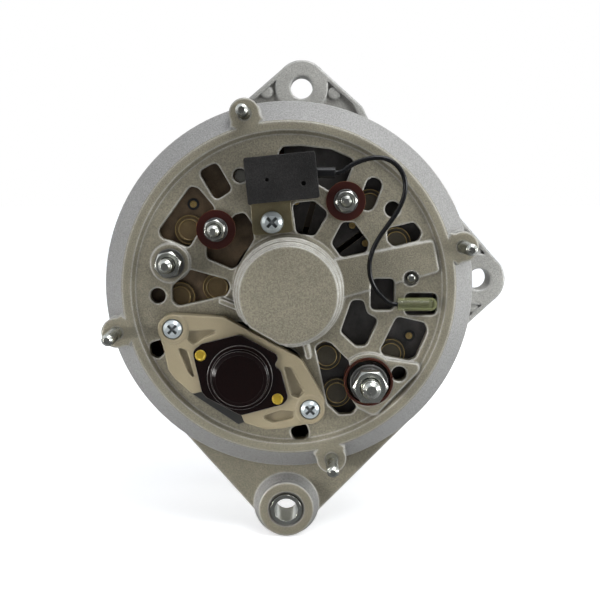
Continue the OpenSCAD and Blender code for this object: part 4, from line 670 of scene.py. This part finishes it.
def nut(name, flats, height, bore, x, z, foot_depth, turn=0.0):
    """A hexagon nut or head. Flats is its width, bore is a radius, and turn is in degrees."""
    cut = flats / 2 * FLAT_TOP

    def side(k):
        return flats / 2 / math.cos(math.radians((360 * k / NUT_POINTS) % 60 - 30))

    def drop(k):
        return max(0.0, side(k) - cut) * CONE_SLOPE

    rings = [lambda k: (bore, EASED_BELOW), lambda k: (bore + EASED_BELOW, 0.0), lambda k: (cut, 0.0),
             lambda k: (side(k), drop(k)), lambda k: (side(k), height - drop(k)), lambda k: (cut, height),
             lambda k: (bore + EASED_ABOVE, height), lambda k: (bore, height - EASED_ABOVE)]
    points = []
    for ring in rings:
        for k in range(NUT_POINTS):
            r, h = ring(k)
            a = math.radians(360 * k / NUT_POINTS + turn)
            points.append((r * MM * math.cos(a), r * MM * math.sin(a), h * MM))
    faces = ring_faces(len(rings), NUT_POINTS)
    return mesh_object(name, points, faces, "zinc_plate", to_rear(x, z, foot_depth), 25)


# %% [markdown]
# ### Washers
# A flat washer is turned, with eased edges that catch a line of light. A spring washer is square wire
# bent to a ring with a cut, so it is computed step by step, and it rises a little from end to end.

# %% Flat and spring washers
WASHER_EDGE = 0.15
CUT_ENDS_AT, WIRE_SPAN, WIRE_STEPS, WIRE_EDGE, WIRE_RISE = 204.0, 350.0, 60, 0.05, 0.05


def flat_washer(name, outer, inner, thick, x, z, foot_depth):
    eased, top = outer - WASHER_EDGE, thick - WASHER_EDGE
    outline = [(inner, 0), (eased, 0), (outer, WASHER_EDGE), (outer, top), (eased, thick), (inner, thick)]
    return lathe(name, outline, "zinc_dull", to_rear(x, z, foot_depth))


def spring_washer(name, outer, inner, thick, x, z, foot_depth):
    """A ring of square wire with a cut, whose two ends stand a little apart."""
    count, points = WIRE_STEPS, []
    low, high = WIRE_EDGE, thick - WIRE_EDGE
    for i in range(count + 1):
        share = i / count
        a = math.radians(CUT_ENDS_AT + share * WIRE_SPAN)
        rise = (share - 0.5) * WIRE_RISE
        for r, h in ((inner, low), (outer, low), (outer, high), (inner, high)):
            points.append((r * MM * math.cos(a), r * MM * math.sin(a), (h + rise) * MM))
    faces = [(i * 4 + k, i * 4 + (k + 1) % 4, i * 4 + 4 + (k + 1) % 4, i * 4 + 4 + k)
             for i in range(count) for k in range(4)]
    faces += [(0, 1, 2, 3), tuple(count * 4 + k for k in (3, 2, 1, 0))]
    return mesh_object(name, points, faces, "zinc_dull", to_rear(x, z, foot_depth))


# %% [markdown]
# ### Joining pieces and settling them
# The record has one node for all four bolts, so their dressed pieces become one object as well. Then each
# piece is fixed to the alternator's body, and the solids that it stands for are hidden.

# %% Join and settle
def join(name, parts):
    """Makes one mesh object of several, each already in its place, with the finish of the first."""
    shape = bmesh.new()
    for part in parts:
        shape.from_mesh(part.data)
    data = bpy.data.meshes.new(name)
    shape.to_mesh(data)
    shape.free()
    for material in parts[0].data.materials:
        data.materials.append(material)
    whole = bpy.data.objects.new(name, data)
    bpy.context.scene.collection.objects.link(whole)
    for part in parts:
        bpy.data.objects.remove(part)
    return whole


def settle(piece, slot, *stands_for):
    """Fixes a piece to the alternator and hides the solids that it stands for. The slot is not used."""
    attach(piece, "alternator")
    if stands_for:
        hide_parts(*stands_for)
    print(piece.name, len(piece.data.polygons), "faces")
    return piece


# %% [markdown]
# ## Terminal studs
# Four studs carry the current and the signals out. Only their free ends have a thread that shows, so the
# thread starts just inside the face. Below it is a plain shank, whose head sits against the heat sink or
# the exciter board.

# %% Terminal studs
BATTERY, GROUND, INDICATOR, PHASE = (33.8, -39.2), (-49.8, 11.3), (-30.4, 25.4), (23.7, 37.2)
SINK_END, BOARD_END, THREAD_FOOT, SHANK_PLAY = 12.0, 13.5, 1.5, 0.05


def stud(name, at, tip, root, radius, pitch, head_r, head_t):
    """A stud from its tip to its root, with the head beyond the root."""
    ridge = thread(name + "_thread", *at, tip, THREAD_FOOT, radius, pitch)
    inner, top = radius - SHANK_PLAY, head_t + root - THREAD_FOOT
    outline = [(0, 0), (head_r, 0), (head_r, head_t), (inner, head_t), (inner, top), (0, top)]
    shank = lathe(name + "_shank", outline, "zinc_plate", to_rear(*at, root + head_t), closed=False)
    return join(name, [ridge, shank])


battery = stud("battery_stud_dressed", BATTERY, -18, SINK_END, 4.0, 1.25, 7.0, 3.0)
settle(battery, "zinc_plate", "battery_stud")
settle(stud("ground_stud_dressed", GROUND, -16, SINK_END, 3.0, 1.0, 5.4, 2.5), "zinc_plate", "ground_stud")
small = [stud("indicator", INDICATOR, -15, BOARD_END, 2.5, 0.8, 4.0, 2.5),
         stud("phase", PHASE, -6.5, BOARD_END, 2.5, 0.8, 4.0, 2.5)]
settle(join("small_studs_dressed", small), "zinc_plate", "small_studs")

# %% [markdown]
# ## Through bolts
# Four long bolts hold the two shields and the core together. They come from the drive end, where their
# heads and flanges sit, and their threaded ends stand far out at the rear. All four are alike, so a loop
# sets them on their circle.

# %% Through bolts
BOLT_CIRCLE, BOLT_TURN = 75.2, 14
BOLT_TIP, BOLT_THREAD_FOOT, SHANK_END, FLANGE_END, HEAD_END = -20, 1.0, 80.0, 81.0, 84.5
BOLT_SHANK, SHANK_LENGTH, HEAD_BORE = 2.45, 79.0, 1.6
FLANGE = [(2.4, 0), (4.9, 0), (4.9, 0.9), (2.4, 0.9)]
bolts = []
for i in range(4):
    a = math.radians(BOLT_TURN + 90 * i)
    spot = (BOLT_CIRCLE * math.cos(a), BOLT_CIRCLE * math.sin(a))
    shank = [(0, 0), (BOLT_SHANK, 0), (BOLT_SHANK, SHANK_LENGTH), (0, SHANK_LENGTH)]
    bolts.append(thread(f"bolt_{i}_thread", *spot, BOLT_TIP, BOLT_THREAD_FOOT, 2.5, 0.8))
    bolts.append(lathe(f"bolt_{i}_shank", shank, "zinc_plate", to_rear(*spot, SHANK_END), 32, closed=False))
    bolts.append(lathe(f"bolt_{i}_flange", FLANGE, "zinc_plate", to_rear(*spot, FLANGE_END), 40))
    bolts.append(nut(f"bolt_{i}_head", 8.0, 3.5, HEAD_BORE, *spot, HEAD_END))
settle(join("through_bolts_dressed", bolts), "zinc_plate", "through_bolts")

# %% [markdown]
# ## Nuts and washers of the terminals
# Each terminal has a flat washer or two, mostly a spring washer, and one or two nuts, stacked outwards
# from the face. Nobody tightens nuts to the same angle, so each has its own turn. The washers are duller
# than the nuts, which keeps the stack readable, and their long corner darkening paints shade on them,
# most of all inside the battery terminal's cup.

# %% Nuts and washers
nuts = [nut("n1", 13, 6.5, 4.0, *BATTERY, 3.8, turn=8), nut("n2", 13, 6.5, 4.0, *BATTERY, -5.4),
        nut("n3", 10, 5, 3.0, *GROUND, -2.7, turn=12), nut("n4", 8, 4, 2.5, *INDICATOR, -2.9, turn=20),
        nut("n5", 8, 4, 2.5, *PHASE, -1.4, turn=5)]
settle(join("terminal_nuts_dressed", nuts), "zinc_plate", "terminal_nuts")
rings = [flat_washer("w1", 8.6, 4.1, 1.2, *BATTERY, 5.0), flat_washer("w2", 8.0, 4.1, 1.2, *BATTERY, -2.7),
         spring_washer("w3", 6.8, 4.1, 1.5, *BATTERY, -3.9), flat_washer("w4", 6.2, 3.1, 1.2, *GROUND, 0.0),
         spring_washer("w5", 5.0, 3.1, 1.5, *GROUND, -1.2),
         flat_washer("w6", 5.0, 2.6, 1.2, *INDICATOR, -0.2),
         spring_washer("w7", 4.4, 2.6, 1.5, *INDICATOR, -1.4),
         flat_washer("w8", 5.0, 2.6, 1.2, *PHASE, -0.2)]
settle(join("terminal_washers_dressed", rings), "zinc_plate", "terminal_washers")

# %% [markdown]
# ## Rivets of the regulator's plate
# Each has a dished head, whose raised edge catches the light. A plain disc would look like a flat dot,
# so the rivet is turned with its dish.

# %% Rivets of the regulator's plate
PLATE_RIVETS_AT, RIVET_FOOT = [(-36.9, -26.8), (-4.8, -45.4)], 2.0
DISHED = [(0, 0), (1.6, 0), (1.6, 7.5), (2.35, 7.5), (2.35, 8.0), (2.15, 8.2), (1.8, 8.2), (1.5, 7.9),
          (0, 7.9)]
dished = [lathe(f"dished_{i}", DISHED, "brass", to_rear(*at, RIVET_FOOT), 40, closed=False)
          for i, at in enumerate(PLATE_RIVETS_AT)]
settle(join("regulator_rivets_dressed", dished), "brass", "regulator_rivets")

# %% [markdown]
# ## Brush springs
# A spring stands on the holder with one end and on its brush with the other, so it shortens as the
# brush slides. The wire is drawn again as a round coil with closed ends, in the room of its solid.

# %% Springs drawn as coils
SPRING_WIRE, SPRING_TURNS, TURN_STEPS = 0.35 * MM, 6, 24


def coil_share(turn, closed):
    """How far along the spring a turn is: the first and the last turn lie almost flat."""
    if turn < 1:
        return turn * closed
    if turn > SPRING_TURNS - 1:
        return 1 - (SPRING_TURNS - turn) * closed
    return closed + (1 - 2 * closed) * (turn - 1) / (SPRING_TURNS - 2)


def brush_spring(name):
    """Redraws a brush's spring within its solid, which lies along a line through the shaft."""
    corners = [NODES[name].matrix_world @ v.co for v in NODES[name].data.vertices]
    middle = sum(corners, Vector()) / len(corners)
    outwards = Vector((middle.x, 0, middle.z)).normalized()
    sideways = outwards.cross(Vector((0, 1, 0)))
    reach = [c.dot(outwards) for c in corners]
    near, far = min(reach) + SPRING_WIRE, max(reach) - SPRING_WIRE
    ring = (max(c.y for c in corners) - min(c.y for c in corners)) / 2 - SPRING_WIRE
    steps, closed = SPRING_TURNS * TURN_STEPS, 2 * SPRING_WIRE / (far - near)
    route = []
    for i in range(steps + 1):
        a = math.tau * i / TURN_STEPS
        share = coil_share(i / TURN_STEPS, closed)
        route.append(outwards * (near + (far - near) * share) + Vector((0, middle.y, 0))
                     + sideways * (ring * math.cos(a)) + Vector((0, ring * math.sin(a), 0)))
    drawn = curve_object(name + "_route", route, SPRING_WIRE)
    graph = bpy.context.evaluated_depsgraph_get()
    coil = bpy.data.objects.new(name + "_coil", bpy.data.meshes.new_from_object(drawn.evaluated_get(graph)))
    bpy.data.objects.remove(drawn)
    bpy.context.scene.collection.objects.link(coil)
    coil.data.materials.append(FINISHES["spring_steel"])
    coil.data.shade_smooth()
    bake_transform(coil)
    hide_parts(name)
    return coil


for end in ("rear", "front"):
    coil = brush_spring(f"brush_spring_{end}")
    print(coil.name, len(coil.data.polygons), "faces")

# %% [markdown]
# ## Rings on the diodes' covers
# Through the windows one sees the diodes' covers, each with two thin bright rings where its paint is
# rubbed off. They could be part of the finish, but their radii are exact, so they are turned as very
# flat rings that lie on the cover.

# %% Rings on the diodes' covers
DIODES_LEFT = [(-42.2, 25.0), (-46.5, -3.6), (-30.6, 0.4)]
DIODES_RIGHT = [(45.5, 19.8), (34.2, 35.9), (43.7, -28.2), (20.6, -45.6), (16.1, -29.2)]
COVER_LINES, RING_HEIGHT = ((4.4, 6.3), (6.05, 7.0)), 0.06  # each line's radius and depth


def cover_ring(name, radius, width, depth, at):
    inner, outer = radius - width / 2, radius + width / 2
    outline = [(inner, 0), (outer, 0), (outer, RING_HEIGHT), (inner, RING_HEIGHT)]
    return lathe(name, outline, "gilt_line", to_rear(*at, depth), 48)


def cover_rings(label, spots, widths):
    return join(label, [cover_ring(f"{label}_{i}_{radius}", radius, width, depth, at)
                        for i, at in enumerate(spots)
                        for (radius, depth), width in zip(COVER_LINES, widths)])


settle(cover_rings("cover_rings_right", DIODES_RIGHT, (0.24, 0.22)), "diode_dark")
settle(cover_rings("cover_rings_left", DIODES_LEFT, (0.14, 0.14)), "diode_bronze")

# %% [markdown]
# ## Rivet ends on the plates
# Rivets hold the plates, and their ends show as small bright dishes with a dark collar. One end and one
# collar are turned once and set down wherever the real ones are, by Geometry Nodes on a list of points.

# %% Rivet ends on the plates
RIVETS = [(-40.6, 35.8), (27.0, 26.9), (32.6, 19.2), (51.8, -20.8), (3.0, 36.9), (42.9, 25.3)]
SINK_FACE = 9.0


def make_set_down_tree():
    tree, given, out = geometry_tree("set_down", [
        ("Shape", "NodeSocketObject", None), ("Spots", "NodeSocketObject", None),
        ("Material", "NodeSocketMaterial", None)])
    shape = node(tree, "GeometryNodeObjectInfo", {"Object": given.outputs["Shape"]}).outputs["Geometry"]
    spots = node(tree, "GeometryNodeObjectInfo", {"Object": given.outputs["Spots"]}).outputs["Geometry"]
    points = node(tree, "GeometryNodeMeshToPoints", {"Mesh": spots}).outputs["Points"]
    copies = node(tree, "GeometryNodeInstanceOnPoints", {"Points": points, "Instance": shape})
    return realised(tree, given, out, copies.outputs[0])


SET_DOWN = make_set_down_tree()


def set_down(name, shape, spots, finish_name):
    """Copies a shape, drawn about the origin, to every spot."""
    data = bpy.data.meshes.new(name + "_spots")
    data.from_pydata([tuple(spot) for spot in spots], [], [])
    holder = bpy.data.objects.new(name + "_spots", data)
    bpy.context.scene.collection.objects.link(holder)
    piece = from_tree(name, SET_DOWN, {"Shape": shape, "Spots": holder, "Material": FINISHES[finish_name]})
    bpy.data.objects.remove(shape)
    bpy.data.objects.remove(holder)
    return piece


COLLAR = [(1.55, 0), (2.5, 0), (2.5, 0.25), (2.3, 0.4), (1.55, 0.4)]
RIVET_END = [(0, 0), (1.5, 0), (1.5, 0.55), (1.25, 0.8), (0.65, 0.8), (0.5, 0.45), (0, 0.45)]
facing_rear = Matrix.Rotation(math.radians(90), 4, "X")
collar = lathe("collar", COLLAR, "black_moulding", facing_rear, 32)
head = lathe("head", RIVET_END, "gilt_line", facing_rear, 32, closed=False)
spots = [place(x, z, SINK_FACE) for x, z in RIVETS]
settle(set_down("plate_rivets", head, spots, "gilt_line"), "brass")
settle(set_down("rivet_collars", collar, spots, "black_moulding"), "sink_dark")

# %% [markdown]
# ## Windings
# Behind the rear windows the copper shows. Each coil leaves a slot, leans over and goes back into a
# slot further round. A plain ring with stripes would do from far away, but not through a window. So one
# bundle of wires is drawn as curves, each a little off its neighbours, and Geometry Nodes turn
# it round the stator 36 times at each end.

# %% Bundle of wires
SLOTS, WIRE = 36, 1.1
WIRES, FIRST_WIRE, WIRE_APART = 7, 56.8, 1.15
TALLEST, SHORTER_BY, IN_SLOT = 10.8, 0.9, -2.0
FIRST_ANGLE, LEAN, ANGLE_SPREAD, RADIUS_SPREAD = 5, 30, 0.5, 0.3


def wire_bundle(name, edge, way):
    """The wires of one coil that leave a slot at this depth, lean over and go back three slots on."""
    data = bpy.data.curves.new(name, "CURVE")
    data.dimensions = "3D"
    data.bevel_depth = WIRE / 2 * MM
    data.bevel_resolution = 1
    rng = random.Random(7)
    for k in range(WIRES):
        top = TALLEST - abs(k - WIRES // 2) * SHORTER_BY
        steps = []
        for share in (0, 0.04, 0.1, 0.25, 0.5, 0.75, 0.9, 0.96, 1.0):
            lift = top * math.sin(math.pi * share) ** 0.35 if 0 < share < 1 else IN_SLOT
            a = math.radians(FIRST_ANGLE + LEAN * share + (rng.random() - 0.5) * ANGLE_SPREAD)
            r = FIRST_WIRE + WIRE_APART * k + (rng.random() - 0.5) * RADIUS_SPREAD
            steps.append(place(r * math.cos(a), r * math.sin(a), edge + way * lift))
        spline = data.splines.new("POLY")
        spline.points.add(len(steps) - 1)
        for point, spot in zip(spline.points, steps):
            point.co = (*spot, 1.0)
    thing = bpy.data.objects.new(name, data)
    bpy.context.scene.collection.objects.link(thing)
    graph = bpy.context.evaluated_depsgraph_get()
    mesh = bpy.data.meshes.new_from_object(thing.evaluated_get(graph))
    bpy.data.objects.remove(thing)
    solid = bpy.data.objects.new(name, mesh)
    bpy.context.scene.collection.objects.link(solid)
    return solid


# %% [markdown]
# ### Repeating a shape about the shaft
# The tree makes as many points as there are slots, all on the shaft, and gives each copy its own turn.
# This way one drawing of the bundle serves all slots, and the count is an input.

# %% Tree that repeats a shape about the shaft
def make_repeat_tree():
    tree, given, out = geometry_tree("round_the_shaft", [
        ("Shape", "NodeSocketObject", None), ("Count", "NodeSocketInt", SLOTS),
        ("Material", "NodeSocketMaterial", None)])
    shape = node(tree, "GeometryNodeObjectInfo", {"Object": given.outputs["Shape"]}).outputs["Geometry"]
    spots = node(tree, "GeometryNodeMeshLine", {"Count": given.outputs["Count"], "Offset": (0, 0, 0)})
    points = node(tree, "GeometryNodeMeshToPoints", {"Mesh": spots.outputs["Mesh"]}).outputs["Points"]
    index = node(tree, "GeometryNodeInputIndex").outputs[0]
    step = maths(tree, "DIVIDE", math.tau, given.outputs["Count"])
    turn = node(tree, "ShaderNodeCombineXYZ", {"Y": maths(tree, "MULTIPLY", index, step)}).outputs[0]
    copies = node(tree, "GeometryNodeInstanceOnPoints", {
        "Points": points, "Instance": shape, "Rotation": turn})
    return realised(tree, given, out, copies.outputs[0])


ROUND = make_repeat_tree()
print("trees:", [g.name for g in bpy.data.node_groups if g.type == "GEOMETRY"])


def round_shaft(name, shape, count, finish_name):
    """Copies a shape evenly about the shaft and drops the original."""
    piece = from_tree(name, ROUND, {"Shape": shape, "Count": count, "Material": FINISHES[finish_name]})
    bpy.data.objects.remove(shape)
    piece.data.shade_smooth()
    return piece


# %% [markdown]
# ### Both ends
# The core lies between 30 and 70 mm from the rim, and the wires stand out of it at both ends. The solid
# windings are one node, so only the rear piece says that it stands for them.

# %% Both ends of the windings
CORE_REAR, CORE_FRONT = 30.0, 70.0
for label, edge, way in (("rear", CORE_REAR, -1), ("front", CORE_FRONT, 1)):
    coils = round_shaft(f"coil_heads_{label}", wire_bundle("bundle", edge, way), SLOTS, "winding_copper")
    settle(coils, "winding_copper", *(["stator_windings"] if label == "rear" else []))

# %% [markdown]
# ## Studio
# The part stands before a white ground. Its light comes from above and from the right, as the bright
# lower edges of the windows and the bright right-hand side of the real one show, and the room behind
# the camera is dark, which is what makes black gloss look black. Two soft lamps, two weak ones and a
# world that differs with direction do that.
#
# ### World
# What lies behind the part is plain white to the camera and to gloss. All other rays meet a soft sky,
# warm below and cool above, and dark on the side of the camera. A picture of a room could do the same,
# but three ramps are easier to change.

# %% World
SKY_LOW, SKY_HIGH, DARK_ROOM = (0.42, 0.41, 0.395, 1), (0.70, 0.74, 0.80, 1), (0.055, 0.05, 0.048, 1)
WHITE = (1, 1, 1, 1)
world = bpy.data.worlds.new("studio")
bpy.context.scene.world = world
world.use_nodes = True
wt = world.node_tree
wt.nodes.clear()
path = node(wt, "ShaderNodeLightPath")
heading = node(wt, "ShaderNodeSeparateXYZ", {0: node(wt, "ShaderNodeTexCoord").outputs["Generated"]})
behind = ramp(wt, heading.outputs["Y"], 0.05, 0.35)
gloss_behind = maths(wt, "MULTIPLY", path.outputs["Is Glossy Ray"], behind)
looked_at = maths(wt, "MAXIMUM", path.outputs["Is Camera Ray"], path.outputs["Is Transmission Ray"])
seen = maths(wt, "MAXIMUM", looked_at, gloss_behind)
sky = mix(wt, "RGBA", ramp(wt, heading.outputs["Z"], -0.5, 0.75), SKY_LOW, SKY_HIGH)
around = mix(wt, "RGBA", ramp(wt, heading.outputs["Y"], -0.5, -0.93), sky, DARK_ROOM)
ground = node(wt, "ShaderNodeBackground", {"Color": mix(wt, "RGBA", seen, around, WHITE), "Strength": 1.0})
node(wt, "ShaderNodeOutputWorld", {"Surface": ground.outputs[0]})
print("world", world.name, "with", len(wt.nodes), "nodes")

# %% [markdown]
# ### Lamps
# Square soft lamps stand for the real ones. The ones above and to the right do most of the work, and
# the left one fills the shadows. The low one is a weak and narrow beam for the bottom of the part, which
# would be too dark without it.

# %% Lamps
COOL, FAINT_GREEN, WARM = (0.98, 0.99, 1.0), (0.98, 1.0, 0.99), (1.0, 0.98, 0.95)
BEAM = math.radians(26)


def soft_lamp(name, spot, aim, size, watts, colour):
    """A square lamp at a spot, turned to what it aims at. Lengths are metres."""
    data = bpy.data.lights.new(name, "AREA")
    data.shape, data.size, data.energy, data.color = "SQUARE", size, watts, colour
    lamp = bpy.data.objects.new(name, data)
    lamp.location = spot
    lamp.rotation_euler = (Vector(aim) - Vector(spot)).to_track_quat("-Z", "Y").to_euler()
    bpy.context.scene.collection.objects.link(lamp)
    return lamp


soft_lamp("above", (0.3, -0.5, 0.85), (0, -0.1, 0), 0.55, 6.6, COOL)
soft_lamp("right", (0.80, -0.42, -0.05), (0, -0.1, -0.02), 0.5, 6.9, FAINT_GREEN)
soft_lamp("left", (-0.8, -0.5, 0.2), (0, -0.1, 0), 0.5, 0.7, WARM)
low = soft_lamp("low", (-0.52, -0.50, -0.09), (0.0, -0.12, -0.125), 0.20, 0.13, WARM)
low.data.spread = BEAM
print("lamps:", {lamp.name: round(lamp.energy, 2) for lamp in bpy.data.lights})

# %% [markdown]
# ### Floor
# A matt floor at the height of the lowest ears throws light back at the part's underside. It would turn
# grey in the picture, so to the camera it also glows, and only its soft shadow is left. To gloss it is
# dark in front of the part, or it would show as a pale band in everything black.

# %% Floor
FLOOR, REACH = -0.1101, 6
FLOOR_TONE, DARK_TONE, GLOW = (0.80, 0.80, 0.80, 1), (0.10, 0.10, 0.10, 1), 0.55
corners = [(-REACH, -REACH, FLOOR), (REACH, -REACH, FLOOR), (REACH, REACH, FLOOR), (-REACH, REACH, FLOOR)]
floor_data = bpy.data.meshes.new("floor")
floor_data.from_pydata(corners, [], [(0, 1, 2, 3)])
floor = bpy.data.objects.new("floor", floor_data)
bpy.context.scene.collection.objects.link(floor)
floor_paint = bpy.data.materials.new("floor_paint")
floor_paint.use_nodes = True
ft = floor_paint.node_tree
ft.nodes.clear()
rays = node(ft, "ShaderNodeLightPath")
seen_floor = maths(ft, "MAXIMUM", rays.outputs["Is Camera Ray"], rays.outputs["Is Transmission Ray"])
along = node(ft, "ShaderNodeSeparateXYZ", {0: node(ft, "ShaderNodeTexCoord").outputs["Object"]}).outputs["Y"]
in_front = maths(ft, "MULTIPLY", rays.outputs["Is Glossy Ray"], ramp(ft, along, -0.02, -0.16))
pale = mix(ft, "RGBA", in_front, FLOOR_TONE, DARK_TONE)
matt = node(ft, "ShaderNodeBsdfDiffuse", {"Color": pale})
white = node(ft, "ShaderNodeEmission", {"Color": WHITE, "Strength": GLOW})
plus = node(ft, "ShaderNodeAddShader", {0: matt.outputs[0], 1: white.outputs[0]})
mixed = node(ft, "ShaderNodeMixShader", {0: seen_floor, 1: matt.outputs[0], 2: plus.outputs[0]})
node(ft, "ShaderNodeOutputMaterial", {"Surface": mixed.outputs[0]})
floor_data.materials.append(floor_paint)
print("floor at", FLOOR, "m")

# %% [markdown]
# ## Finish
# The view transform is the plain one, so a colour in a finish is the colour in the picture.

# %% Finish
view = bpy.context.scene.view_settings
view.view_transform = "Standard"
bpy.context.view_layer.update()
